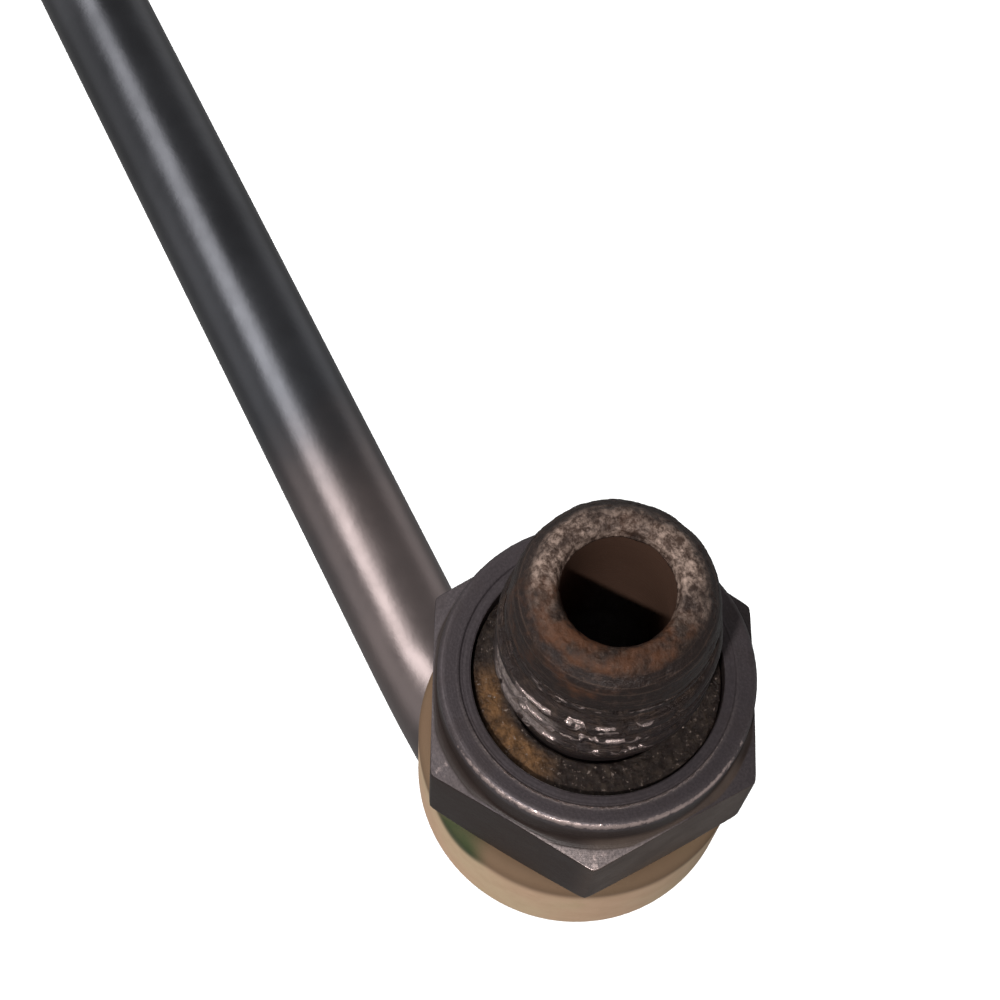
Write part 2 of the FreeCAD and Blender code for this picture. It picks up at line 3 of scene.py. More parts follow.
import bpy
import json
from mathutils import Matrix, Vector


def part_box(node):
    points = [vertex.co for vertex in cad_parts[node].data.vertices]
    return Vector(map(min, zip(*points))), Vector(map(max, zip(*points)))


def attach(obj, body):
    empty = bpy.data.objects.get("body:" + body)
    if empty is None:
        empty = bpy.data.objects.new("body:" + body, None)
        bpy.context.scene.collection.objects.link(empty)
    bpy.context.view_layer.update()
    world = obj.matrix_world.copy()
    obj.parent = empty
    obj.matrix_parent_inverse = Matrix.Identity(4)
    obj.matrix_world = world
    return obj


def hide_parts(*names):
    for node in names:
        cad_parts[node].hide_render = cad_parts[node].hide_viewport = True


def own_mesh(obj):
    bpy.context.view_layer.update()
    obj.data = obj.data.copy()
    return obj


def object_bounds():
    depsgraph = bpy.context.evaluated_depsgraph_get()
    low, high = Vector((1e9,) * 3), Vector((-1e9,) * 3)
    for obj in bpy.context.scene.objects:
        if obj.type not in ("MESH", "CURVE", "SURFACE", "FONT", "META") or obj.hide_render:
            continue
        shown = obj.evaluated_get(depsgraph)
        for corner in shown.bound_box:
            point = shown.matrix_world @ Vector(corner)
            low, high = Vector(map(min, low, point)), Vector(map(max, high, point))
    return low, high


bl_info = {
    "name": "Fuel Spout Looks",
    "version": (1, 0, 0),
    "blender": (4, 5, 0),
    "location": "View3D > Sidebar > Fuel Spout",
    "description": "Builds the detailed pieces and finishes of a swivelling fuel spout",
    "category": "Object",
}

import json
import math
from types import SimpleNamespace

import bmesh
import bpy
import numpy as np
from bpy.props import FloatProperty, FloatVectorProperty, IntProperty, PointerProperty
from mathutils import Vector, noise

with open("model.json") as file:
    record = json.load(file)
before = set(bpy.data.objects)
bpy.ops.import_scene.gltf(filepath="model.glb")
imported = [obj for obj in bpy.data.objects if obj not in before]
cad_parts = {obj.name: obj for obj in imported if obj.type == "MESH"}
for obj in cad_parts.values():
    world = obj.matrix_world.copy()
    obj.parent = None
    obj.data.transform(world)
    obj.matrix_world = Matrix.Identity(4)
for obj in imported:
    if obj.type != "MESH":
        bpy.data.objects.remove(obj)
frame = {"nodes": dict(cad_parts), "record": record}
CAD_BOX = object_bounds()
MM = 0.001
MOUNTS = {mount["name"]: mount for mount in frame["record"]["mounts"]}
STEM_LOW, STEM_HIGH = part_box("inlet_stem")
COLLAR_LOW, COLLAR_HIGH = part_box("swivel_collar")
TUBE_LOW, TUBE_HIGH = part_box("spout_tube")
ADAPTER_LOW, ADAPTER_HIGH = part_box("tip_adapter")
NOSE_LOW, NOSE_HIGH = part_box("tip_nose")
SEAL_LOW, SEAL_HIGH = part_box("inlet_seal")
SPRING_LOW, SPRING_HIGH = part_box("valve_spring")


def in_mm(value):
    """Give a frame length in millimetres, rounded to a hundredth."""
    return round(value / MM, 2)


# heights and radii in millimetres that the profiles share
TIP_X = in_mm((ADAPTER_LOW.x + ADAPTER_HIGH.x) / 2)
PASSAGE, BORE_END = 4.8, -9.0
CLIP_FLOOR, CLIP_TOP, CLIP_BOTTOM = 5.1, -30.2, -31.0
GLAND_FLOOR, GLAND_WIDTH, LOW_GLAND, HIGH_GLAND = 6.0, 2.0, -29.4, -20.2
RACE_HEIGHT, RACE_REACH = -23.8, 1.34
JOURNAL_RACE, COLLAR_RACE = (6.8, 6.45), (9.2, 9.55)
STEP_RADIUS, STEP_DEPTH, RECESS_FLOOR, SEAL_HOLE = 10.15, 0.12, -2.0, 6.62
THREAD_START, NOSE_LENGTH = 3.4, 4.2
SEAL_POCKET, TUBE_SOCKET, SOCKET_TOP, THROAT, THROAT_TOP = 9.6, 6.03, -34.0, 5.0, -32.6
GRIP_PITCH = 4.0
BEND_SQUEEZE = 0.008

# the stem's zones from the journal up, and rows near the top of its hexagon
JOURNAL, HEXAGON, LAND, THREAD, NOSE, INNER = range(6)
EDGE_ROWS, SHELF_ROWS = slice(-13, -9), slice(-10, -5)

# compass angles of marks round the inlet's axis
NEAR_SIDE = math.radians(154.6)
GLINT_SIDE = math.radians(138.0)
# side of the hexagon given a painted warm reflection
WARM_REFLECTION_SIDE = math.radians(182.8)
CRESCENT_SIDE = math.radians(98.0)
OCHRE_SIDE = math.radians(88.0)
MARK_SIDE = math.radians(105.0)
OCHRE_PATCH = math.radians(95.0)
PALE_LEFT = math.radians(30.0)
PALE_RIGHT = math.radians(250.0)

# camera and lights
CAMERA_PLACE = (-0.037153, 0.032602, 0.141899)
CAMERA_TURN = (23.3016, -2.2583, -116.3413)
KEY_DIRECTION = (-0.353, 0.470, 0.809)
SOFTBOX_DIRECTION = (0.52, 0.44, 0.73)
FLOOR_DROP = 1.4

INNER_PIECES = (
    "front_o_ring", "rear_o_ring", "thrust_washer", "inlet_strainer", "strainer_clip", "dust_seal",
    "bearing_balls", "tip_gasket", "valve_poppet", "poppet_seal", "spring_seat", "seat_clip")


# ------------------------------------------------------------------ sizes and colours a user may change

def length(label, default, description):
    """Declare a size, given here in millimetres and kept in metres."""
    return FloatProperty(
        name=label, description=description, default=default * MM, precision=5, unit="LENGTH")


def colour(label, default, description):
    """Declare a linear colour."""
    return FloatVectorProperty(
        name=label, description=description, default=default, size=3, min=0.0, max=1.0, subtype="COLOR")


class StemSizes(bpy.types.PropertyGroup):
    """Sizes of the inlet stem, in millimetres from the land."""
    mouth: length("Mouth height", in_mm(STEM_HIGH.z), "Height of the nipple's mouth above the land")
    bore: length("Bore radius", MOUNTS["inlet_bore"]["dims"]["r_mm"], "Radius of the flow bore")
    crest: length("Crest radius", MOUNTS["inlet_thread"]["dims"]["r_mm"], "Radius over the thread crests")
    pitch: length("Thread pitch", 2.45, "Rise of the thread in one turn")
    depth: length("Thread depth", 0.90, "Radial depth of the worn thread")
    relief: length("Relief radius", 6.3, "Radius of the relief under the thread")
    recess: length("Recess radius", 9.25, "Radius of the seal recess")
    land: length("Land radius", 11.7, "Radius of the raised land")
    foot: length("Land foot", -3.7, "Height where the land's wall meets the hexagon")
    shoulder: length("Corner top", -4.3, "Height of the hexagon's upper corners")
    flats: length("Hexagon flats", 24.0, "Size over the hexagon's flats")
    under: length("Hexagon bottom", -13.8, "Height of the hexagon's rear face")
    turn: FloatProperty(
        name="Hexagon turn", description="Angle of one corner from the spout",
        default=math.radians(32.8), subtype="ANGLE")


class SpoutSizes(bpy.types.PropertyGroup):
    """Sizes of the collar, tube and tip."""
    journal: length("Journal radius", 7.5, "Radius of the journal inside the collar")
    rim: length("Collar rim", -26.3, "Height of the collar's rear rim")
    neck: length("Neck radius", 9.0, "Radius of the collar's neck")
    bend: length("Bend radius", 29.0, "Radius of both bends at the tube's centre")
    run: length("Run height", -71.0, "Height of the long straight run")
    wall: length("Tube wall", 1.25, "Wall thickness of the tube")
    grips: IntProperty(name="Grip grooves", description="Grooves round the tip's grip", default=3)
    wire: length("Spring wire", 0.4, "Radius of the valve spring's wire")
    coils: IntProperty(name="Spring coils", description="Turns of the valve spring", default=5)


class SpoutColours(bpy.types.PropertyGroup):
    """Main colours of the finishes."""
    steel: colour("Oiled steel", (0.043, 0.0350, 0.0375), "Dark oiled steel of the hexagon")
    scale: colour("Burnt scale", (0.012, 0.0070, 0.0058), "Dark scale on the nose's slope")
    rust: colour("Rust", (0.055, 0.0210, 0.0090), "Golden rust round the mouth")
    frost: colour("Pale specks", (0.255, 0.184, 0.150), "Bare pink-grey specks round the mouth")
    ochre: colour("Ochre deposit", (0.135, 0.066, 0.026), "Golden deposit in the recess")
    grease: colour("Old grease", (0.0115, 0.0068, 0.0055), "Dark grease in the thread")
    zinc: colour("Tan zinc", (0.360, 0.262, 0.166), "Pale passivated collar")
    tube: colour("Tube coat", (0.054, 0.0545, 0.060), "Dark satin coat of the tube")


def sizes_in_mm(group):
    """Read a group's lengths in millimetres, and its angles and counts as they are."""
    sizes = SimpleNamespace()
    for key in type(group).__annotations__:
        value = getattr(group, key)
        is_length = group.bl_rna.properties[key].unit == "LENGTH"
        setattr(sizes, key, round(value / MM, 4) if is_length else value)
    return sizes


# ------------------------------------------------------------------ mesh helpers

def angle_list(corner_turn=None, coarse=360):
    """Angles round the axis, closer together at a hexagon's corners."""
    angles = list(np.arange(coarse) * 2 * math.pi / coarse)
    if corner_turn is not None:
        for corner in range(6):
            near = corner_turn + corner * math.pi / 3
            angles += list(near + np.radians(np.arange(-2.6, 2.61, 0.2)))
    angles = np.unique(np.round(np.mod(angles, 2 * math.pi), 5))
    return angles


def rounded_path(corners, step, closed=False):
    """Turn (radius, height, fillet) corners into a dense path with round corners."""
    corners = [np.array(corner, float) for corner in corners]
    count = len(corners)
    path = []
    for index, corner in enumerate(corners):
        here = corner[:2]
        ends_here = not closed and index in (0, count - 1)
        if ends_here or corner[2] <= 0:
            path.append(here)
            continue
        before = corners[index - 1][:2] - here
        after = corners[(index + 1) % count][:2] - here
        shorter = min(np.linalg.norm(before), np.linalg.norm(after))
        before /= np.linalg.norm(before)
        after /= np.linalg.norm(after)
        half = math.acos(np.clip(before @ after, -1, 1)) / 2
        reach = min(corner[2] / math.tan(half), 0.48 * shorter)
        fillet = reach * math.tan(half)
        centre = here + (before + after) / np.linalg.norm(before + after) * fillet / math.sin(half)
        start = here + before * reach - centre
        finish = here + after * reach - centre
        sweep = math.pi - 2 * half
        parts = max(3, int(math.ceil(sweep / math.radians(14))))
        for part in range(parts + 1):
            share = part / parts
            weight_a = math.sin((1 - share) * sweep) / math.sin(sweep)
            weight_b = math.sin(share * sweep) / math.sin(sweep)
            path.append(centre + weight_a * start + weight_b * finish)
    ends = path[1:] + [path[0]] if closed else path[1:]
    dense = []
    for start, finish in zip(path, ends):
        parts = max(1, int(math.ceil(np.linalg.norm(finish - start) / step)))
        dense += [start + (finish - start) * part / parts for part in range(parts)]
    if not closed:
        dense.append(path[-1])
    return np.array(dense)


def joined(parts):
    """Stack (radius, height) grids into one, and number the rows by part."""
    radius = np.concatenate([part[0] for part in parts])
    height = np.concatenate([part[1] for part in parts])
    zone = np.repeat(np.arange(len(parts)), [len(part[0]) for part in parts])
    return radius, height, zone


def facing(turns, side, low, high):
    """Rise from 0 to 1 as the cosine of the angle to a side goes from low to high."""
    return smooth_between(np.cos(turns - side), low, high)


def race_groove(edge, shoulder, floor):
    """Corners of the ball groove in a round wall, from its lower edge up."""
    return [
        (edge, RACE_HEIGHT - RACE_REACH, 0), (shoulder, RACE_HEIGHT - 1.0, 0.3), (floor, RACE_HEIGHT, 0.8),
        (shoulder, RACE_HEIGHT + 1.0, 0.3), (edge, RACE_HEIGHT + RACE_REACH, 0)]


def gland(wall, low):
    """Corners of an O-ring's groove in the journal, from its lower edge up."""
    high = low + GLAND_WIDTH
    return [(wall, low, 0), (GLAND_FLOOR, low, 0.1), (GLAND_FLOOR, high, 0.1), (wall, high, 0)]


def turn_grid(angles, rows):
    """Repeat the angles for each row."""
    return np.repeat(angles[None, :], rows, axis=0)


def spun(path, angles):
    """Spread a (radius, height) path round the axis."""
    radius = np.repeat(path[:, :1], len(angles), axis=1)
    height = np.repeat(path[:, 1:], len(angles), axis=1)
    return radius, height


def hexagon_radius(flats, turn, angles, softness=0.10):
    """Distance from the axis to a hexagon's side, with slightly rounded corners."""
    off_flat = np.mod(angles - turn, math.pi / 3) - math.pi / 6
    side = flats / 2 / np.cos(off_flat)
    corner = flats / math.sqrt(3) - 0.05
    return -softness * np.logaddexp(-side / softness, -corner / softness)


def hexagon_rows(flats, turn, angles, low, low_inner, high, high_inner, slopes, fillet):
    """Rows of a hexagon from its lower face up to a round foot, with turned corner chamfers."""
    side = hexagon_radius(flats, turn, angles)
    lower_edge = low + slopes[0] * (side - low_inner)
    upper_edge = high - slopes[1] * (side - high_inner)
    rows = []
    for share in (0.0, 0.5, 0.9, 0.985):
        radius = low_inner + share * (side - low_inner)
        rows.append((radius, low + slopes[0] * (radius - low_inner)))
    for offset, inset in ((0.0, 0.03), (0.05, 0.005)):
        rows.append((side - inset, lower_edge + offset))
    for share in np.linspace(0.04, 0.96, 24):
        rows.append((side, lower_edge + share * (upper_edge - lower_edge)))
    for offset, inset in ((0.06, 0.006), (0.0, 0.035)):
        rows.append((side - inset, upper_edge - offset))
    foot = np.minimum(fillet, 0.8 * (side - high_inner))
    for share in (0.97, 0.9, 0.6, 0.3, 0.0):
        radius = high_inner + foot + share * (side - high_inner - foot)
        rows.append((radius, high - slopes[1] * (radius - high_inner)))
    for part in range(1, 6):
        swing = part / 6 * math.pi / 2
        radius = high_inner + foot * (1 - math.sin(swing))
        rows.append((radius, high - slopes[1] * foot + foot * (1 - math.cos(swing))))
    return np.array([row[0] for row in rows]), np.array([row[1] for row in rows])


def field(points, scale, seed=0.0, octaves=3):
    """Smooth noise, about -1 to 1, at points in millimetres."""
    shift = Vector((seed, seed * 1.7, -seed))
    flat = points.reshape(-1, 3) * scale
    values = [noise.fractal(Vector(spot) + shift, 0.9, 2.1, octaves) for spot in flat]
    return np.array(values).reshape(points.shape[:-1])


def placed(radius, height, angles, axis_x=0.0):
    """Turn cylinder coordinates into points, in millimetres."""
    return np.stack([
        radius * np.cos(angles)[None, :] + axis_x,
        radius * np.sin(angles)[None, :],
        height], axis=-1)


def smooth_between(value, low, high):
    """Rise smoothly from 0 at low to 1 at high."""
    share = np.clip((value - low) / (high - low), 0, 1)
    return share * share * (3 - 2 * share)


def grid_mesh(name, points, masks=None, closed=True):
    """Make a mesh from a grid of points, closed round the axis and, if closed is set, along its rows too."""
    rows, columns = points.shape[:2]
    last = rows if closed else rows - 1
    row, column = np.meshgrid(np.arange(last), np.arange(columns), indexing="ij")
    next_row = (row + 1) % rows
    next_column = (column + 1) % columns
    quads = np.stack([
        row * columns + column, row * columns + next_column,
        next_row * columns + next_column, next_row * columns + column], axis=-1).reshape(-1, 4)
    spots = points.reshape(-1, 3) * MM
    corners = spots[quads]
    middle = np.cross(corners[:, 2] - corners[:, 0], corners[:, 3] - corners[:, 1])
    if (corners[:, 0] * middle).sum() < 0:
        quads = quads[:, ::-1]
    mesh = bpy.data.meshes.new(name)
    mesh.vertices.add(len(spots))
    mesh.vertices.foreach_set("co", spots.astype(np.float32).ravel())
    mesh.loops.add(quads.size)
    mesh.loops.foreach_set("vertex_index", quads.astype(np.int32).ravel())
    mesh.polygons.add(len(quads))
    mesh.polygons.foreach_set("loop_start", np.arange(0, quads.size, 4, dtype=np.int32))
    mesh.polygons.foreach_set("loop_total", np.full(len(quads), 4, dtype=np.int32))
    mesh.polygons.foreach_set("use_smooth", np.ones(len(quads), dtype=bool))
    mesh.update(calc_edges=True)
    for label, values in (masks or {}).items():
        layer = mesh.attributes.new(label, "FLOAT", "POINT")
        layer.data.foreach_set("value", values.reshape(-1).astype(np.float32))
    return mesh


def add_piece(name, mesh, body, slot, *replaced):
    """Put a finished mesh in the scene, riding on a body and standing for its frame nodes."""
    mesh.materials.append(finish_named(slot))
    piece = bpy.data.objects.new(name, mesh)
    bpy.context.scene.collection.objects.link(piece)
    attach(piece, body)
    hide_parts(*replaced)
    return piece


def dress(node_name, slot):
    """Give a frame node its finish."""
    for holder in frame["nodes"][node_name].material_slots:
        holder.material = finish_named(slot)


# ------------------------------------------------------------------ shader helpers

class Net:
    """Adds nodes to one shader tree. Every input is a value or a socket to link from."""

    def __init__(self, tree):
        self.tree = tree

    def put(self, socket, value):
        """Set a socket, or link it if the value is itself a socket."""
        if isinstance(value, bpy.types.NodeSocket):
            self.tree.links.new(value, socket)
        elif socket.type == "RGBA" and len(value) == 3:
            socket.default_value = (*value, 1.0)
        else:
            socket.default_value = value

    def add(self, kind, settings=None, **inputs):
        """Add a node and fill its named inputs."""
        item = self.tree.nodes.new(kind)
        for key, value in (settings or {}).items():
            setattr(item, key, value)
        self.feed(item, **inputs)
        return item

    def feed(self, item, **inputs):
        """Fill a node's named inputs."""
        for key, value in inputs.items():
            self.put(item.inputs[key.replace("_", " ")], value)

    def maths(self, operation, first, second=0.0, clamp=False):
        """Add a Math node and return its result."""
        item = self.add("ShaderNodeMath", {"operation": operation, "use_clamp": clamp})
        self.put(item.inputs[0], first)
        self.put(item.inputs[1], second)
        return item.outputs[0]

    def times(self, first, second):
        """Multiply two values."""
        return self.maths("MULTIPLY", first, second)

    def plus(self, first, second, clamp=False):
        """Add two values."""
        return self.maths("ADD", first, second, clamp)

    def minus(self, first, second, clamp=False):
        """Take the second value from the first."""
        return self.maths("SUBTRACT", first, second, clamp)

    def remap(self, value, low, high, to_low=0.0, to_high=1.0):
        """Map a range smoothly to another."""
        return self.add(
            "ShaderNodeMapRange", {"interpolation_type": "SMOOTHSTEP"},
            Value=value, From_Min=low, From_Max=high, To_Min=to_low, To_Max=to_high).outputs["Result"]

    def blend(self, share, first, second):
        """Mix two colours, whose sockets on the node are 6 and 7."""
        item = self.add("ShaderNodeMix", {"data_type": "RGBA"})
        for index, value in ((0, share), (6, first), (7, second)):
            self.put(item.inputs[index], value)
        return item.outputs[2]

    def tones(self, value, low, high, first, second):
        """Blend from one colour to another as a value goes from low to high."""
        return self.blend(self.remap(value, low, high), first, second)

    def speckle(self, scale, detail, roughness, seed=0.0):
        """Noise whose scale is in cycles per millimetre."""
        place = self.add("ShaderNodeTexCoord").outputs["Object"]
        spread = self.add(
            "ShaderNodeMapping", Vector=place, Location=(seed, seed, seed), Scale=(1 / MM, 1 / MM, 1 / MM))
        return self.add(
            "ShaderNodeTexNoise", Vector=spread.outputs["Vector"], Scale=scale, Detail=detail,
            Roughness=roughness).outputs["Fac"]

    def mask(self, label):
        """Read one of the masks stored on a mesh."""
        return self.add("ShaderNodeAttribute", {"attribute_name": label}).outputs["Fac"]

    def group(self, label, **inputs):
        """Place one of the shared groups."""
        if label not in GROUPS:
            GROUPS[label] = GROUP_MAKERS[label](label)
        item = self.tree.nodes.new("ShaderNodeGroup")
        item.node_tree = GROUPS[label]
        self.feed(item, **inputs)
        return item.outputs

    def bump(self, shader, height, distance):
        """Feed a height in millimetres of relief to the shader's normal."""
        item = self.add("ShaderNodeBump", Height=height, Distance=distance * MM)
        self.feed(shader, Normal=item.outputs["Normal"])


def new_group(name, inputs, outputs):
    """Start a shader node group with named sockets and return its net, inputs and outputs."""
    tree = bpy.data.node_groups.new(name, "ShaderNodeTree")
    for label, kind, default in inputs:
        tree.interface.new_socket(label, in_out="INPUT", socket_type=kind).default_value = default
    for label, kind in outputs:
        tree.interface.new_socket(label, in_out="OUTPUT", socket_type=kind)
    return Net(tree), tree.nodes.new("NodeGroupInput").outputs, tree.nodes.new("NodeGroupOutput").inputs


def wear_and_glint_group(name):
    """Broken bright wear and painted glints along edges, from a mesh mask or any other value."""
    net, given, result = new_group(
        name, [("Mask", FLOAT, 0.0), ("Grain", FLOAT, 3.0), ("Amount", FLOAT, 0.5)], [("Wear And Glint", FLOAT)])
    grain = net.speckle(1.0, 6.0, 0.7)
    net.put(grain.node.inputs["Scale"], given["Grain"])
    push = net.plus(net.times(given["Mask"], 1.2), net.minus(grain, 1.1))
    push = net.plus(push, given["Amount"])
    net.put(result["Wear And Glint"], net.remap(push, 0.35, 0.75))
    return net.tree


def rust_group(name):
    """Mottled rust in three colours."""
    inputs = [(label, COLOUR, (0.0, 0.0, 0.0, 1.0)) for label in ("Dark", "Rust", "Pale")]
    net, given, result = new_group(name, inputs, [("Color", COLOUR)])
    broad = net.speckle(0.45, 3.0, 0.6, seed=3.0)
    fine = net.speckle(2.6, 6.0, 0.72, seed=11.0)
    hue = net.tones(broad, 0.36, 0.62, given["Dark"], given["Rust"])
    pale_share = net.times(net.remap(fine, 0.50, 0.68), net.remap(broad, 0.30, 0.75, 0.9, 0.35))
    net.put(result["Color"], net.blend(pale_share, hue, given["Pale"]))
    return net.tree


def turning_group(name):
    """Fine tool lines round the piece's axis, from radius and height."""
    net, given, result = new_group(name, [("Axis", FLOAT, 0.0), ("Density", FLOAT, 7.0)], [("Height", FLOAT)])
    place = net.add("ShaderNodeTexCoord").outputs["Object"]
    parts = net.add("ShaderNodeSeparateXYZ", Vector=place).outputs
    across = net.minus(parts["X"], given["Axis"])
    radius = net.maths("SQRT", net.plus(net.times(across, across), net.times(parts["Y"], parts["Y"])))
    ring = net.add("ShaderNodeCombineXYZ", X=net.times(radius, 1 / MM), Y=net.times(parts["Z"], 1 / MM))
    lines = net.add(
        "ShaderNodeTexNoise", Vector=ring.outputs[0], Scale=given["Density"], Detail=2.0, Roughness=0.6)
    net.put(result["Height"], lines.outputs["Fac"])
    return net.tree


def grime_group(name):
    """Handling marks: a darkening mask and a roughness that wander over the surface."""
    net, given, result = new_group(
        name, [("Rough", FLOAT, 0.4), ("Spread", FLOAT, 0.12), ("Size", FLOAT, 0.25)],
        [("Mask", FLOAT), ("Roughness", FLOAT)])
    cloud = net.speckle(1.0, 5.0, 0.6, seed=21.0)
    net.put(cloud.node.inputs["Scale"], given["Size"])
    centred = net.times(net.minus(cloud, 0.5), 4.0)
    net.put(result["Roughness"], net.plus(given["Rough"], net.times(centred, given["Spread"]), True))
    net.put(result["Mask"], net.remap(cloud, 0.42, 0.66))
    return net.tree


FLOAT = "NodeSocketFloat"
COLOUR = "NodeSocketColor"
GROUPS = {}
GROUP_MAKERS = {"Broken Wear And Glint": wear_and_glint_group, "Mottled Rust": rust_group,
                "Tool Lines": turning_group, "Handling Marks": grime_group}


def scaled(tint, factor):
    """Make a colour darker or lighter."""
    return tuple(part * factor for part in tint)


def new_material(name, **constants):
    """Start a material and return it with its net and its shader."""
    material = bpy.data.materials.new(name)
    material.use_nodes = True
    net = Net(material.node_tree)
    shader = material.node_tree.nodes["Principled BSDF"]
    net.feed(shader, **constants)
    return material, net, shader


# ------------------------------------------------------------------ finishes

def worn_steel(colours):
    """Dark oiled steel that is rusty on the nose, greasy in the thread and bright on worn edges."""
    material, net, shader = new_material("worn steel", Specular_IOR_Level=0.2)
    steel = tuple(colours.steel)
    fine = net.speckle(5.0, 5.0, 0.65, seed=5.0)
    clumps = net.speckle(1.3, 6.0, 0.7, seed=31.0)
    lines = net.group("Tool Lines", Density=6.0)["Height"]
    marks = net.group("Handling Marks", Rough=0.46, Spread=0.08, Size=0.35)

    # bare steel, darker and browner on the hexagon's sides and the land's wall, with one hexagon side lifted
    # to a lighter brown as a painted warm reflection
    base = net.tones(fine, 0.35, 0.70, scaled(steel, 0.86), scaled(steel, 1.18))
    side = net.blend(net.mask("warm"), (0.016, 0.0102, 0.0086), (0.050, 0.035, 0.028))
    base = net.blend(net.mask("flank"), base, side)
    base = net.blend(net.times(marks["Mask"], 0.30), base, (0.024, 0.016, 0.014))

    # nose: dark scale, then rust, then pale specks
    nose = net.mask("nose")
    streaks = net.remap(lines, 0.52, 0.70)
    scale = net.blend(net.times(streaks, 0.6), tuple(colours.scale), (0.064, 0.040, 0.030))
    scale = net.blend(net.remap(clumps, 0.52, 0.72, 0.0, 0.6), scale, (0.045, 0.028, 0.022))
    base = net.blend(nose, base, scale)
    rust = net.group("Mottled Rust", Rust=tuple(colours.rust), Dark=(0.014, 0.0078, 0.0054),
                     Pale=(0.046, 0.027, 0.018))
    rust_share = net.mask("rust")
    rust_share = net.remap(net.plus(rust_share, net.times(clumps, 0.8)), 0.55, 1.25)
    rust_share = net.times(rust_share, nose)
    base = net.blend(rust_share, base, rust["Color"])
    base = net.blend(net.times(net.mask("frost"), 0.7), base, (0.050, 0.030, 0.022))
    specks = net.speckle(1.9, 6.0, 0.68, seed=41.0)
    frost = net.times(net.mask("frost"), net.remap(specks, 0.40, 0.68))
    base = net.blend(frost, base, tuple(colours.frost))

    # thread and recess under grease, then a painted sheen, and bright wear that is partly painted glints
    grease = net.times(net.mask("grease"), net.remap(clumps, 0.25, 0.55, 0.8, 1.0))
    greasy = net.tones(clumps, 0.48, 0.72, tuple(colours.grease), (0.036, 0.023, 0.017))
    greasy = net.blend(net.times(streaks, 0.65), greasy, (0.050, 0.032, 0.025))
    base = net.blend(grease, base, greasy)
    # painted sheen: paler pinkish grey on the near side of the land's rim and step, the hexagon's shelf and
    # the lowest thread turns, where the key light reflects
    glow = net.times(net.mask("sheen"), net.remap(fine, 0.30, 0.66, 0.35, 1.0))
    base = net.blend(glow, base, (0.290, 0.236, 0.220))
    # bright metal: real wear on edges and crests, plus painted glints where the masks favour the side facing
    # the key light
    wear = net.group("Broken Wear And Glint", Mask=net.mask("wear"), Grain=2.2, Amount=0.30)["Wear And Glint"]
    base = net.blend(wear, base, (0.39, 0.305, 0.285))
    base = net.blend(net.mask("inner"), base, (0.082, 0.044, 0.030))
    net.feed(shader, Base_Color=base)

    metal = net.minus(0.45, net.times(nose, 0.20), True)
    metal = net.minus(metal, net.times(net.mask("flank"), 0.30), True)
    net.feed(shader, Metallic=net.plus(metal, net.times(wear, 0.6), True))
    rough = net.plus(marks["Roughness"], net.times(rust_share, 0.10))
    rough = net.minus(rough, net.times(grease, 0.08))
    rough = net.minus(rough, net.times(wear, 0.14), True)
    net.feed(shader, Roughness=rough)

    relief = net.plus(net.times(lines, 0.25), net.times(fine, 0.20))
    chunks = net.speckle(4.0, 5.0, 0.7, seed=51.0)
    ridges = net.plus(net.times(lines, 1.6), chunks)
    relief = net.plus(relief, net.times(net.times(ridges, grease), 0.9))
    relief = net.plus(relief, net.times(net.times(specks, nose), 1.2))
    net.bump(shader, relief, 0.11)
    return material


def greasy_fibre(colours):
    """Worn fibre seal under grease, with a golden deposit on one side."""
    material, net, shader = new_material("greasy fibre", Specular_IOR_Level=0.2)
    clumps = net.speckle(1.6, 7.0, 0.74, seed=9.0)
    base = net.tones(clumps, 0.42, 0.72, tuple(colours.grease), (0.038, 0.026, 0.019))
    streak = net.speckle(0.6, 5.0, 0.6, seed=14.0)
    share = net.times(net.mask("rust"), net.remap(streak, 0.30, 0.55, 0.55, 1.0))
    gold = net.tones(clumps, 0.35, 0.65, scaled(colours.ochre, 0.35), tuple(colours.ochre))
    base = net.blend(share, base, gold)
    glints = net.remap(net.speckle(3.0, 4.0, 0.7, seed=61.0), 0.60, 0.68)
    base = net.blend(glints, base, (0.22, 0.17, 0.145))
    rough = net.remap(clumps, 0.3, 0.7, 0.32, 0.55)
    net.feed(shader, Base_Color=base, Metallic=net.times(glints, 0.8), Roughness=rough)
    net.bump(shader, clumps, 0.35)
    return material


def tan_zinc(colours):
    """Pale passivated zinc with a faint pink and green film."""
    material, net, shader = new_material("tan zinc", Specular_IOR_Level=0.12)
    zinc = tuple(colours.zinc)
    film = net.speckle(0.10, 3.0, 0.5, seed=2.0)
    base = net.tones(film, 0.35, 0.65, zinc, (zinc[0] * 1.02, zinc[1] * 0.92, zinc[2] * 0.95))
    drift = net.speckle(0.22, 4.0, 0.55, seed=17.0)
    base = net.blend(
        net.remap(drift, 0.55, 0.80, 0.0, 0.5), base, (zinc[0] * 0.85, zinc[1] * 0.98, zinc[2] * 0.82))
    marks = net.group("Handling Marks", Rough=0.50, Spread=0.06, Size=0.5)
    base = net.blend(net.times(marks["Mask"], 0.12), base, (0.20, 0.13, 0.08))
    # painted shadow below the hexagon on the collar, in dark brown and duller
    base = net.blend(net.mask("grease"), base, (0.075, 0.045, 0.026))
    green = net.times(net.mask("green"), net.remap(drift, 0.30, 0.60, 0.8, 1.0))
    base = net.blend(green, base, (0.030, 0.038, 0.016))
    dull = net.times(net.mask("grease"), 0.35)
    net.feed(shader, Base_Color=base, Roughness=net.plus(marks["Roughness"], dull, True))
    lines = net.group("Tool Lines", Density=5.0)["Height"]
    net.bump(shader, lines, 0.02)
    return material


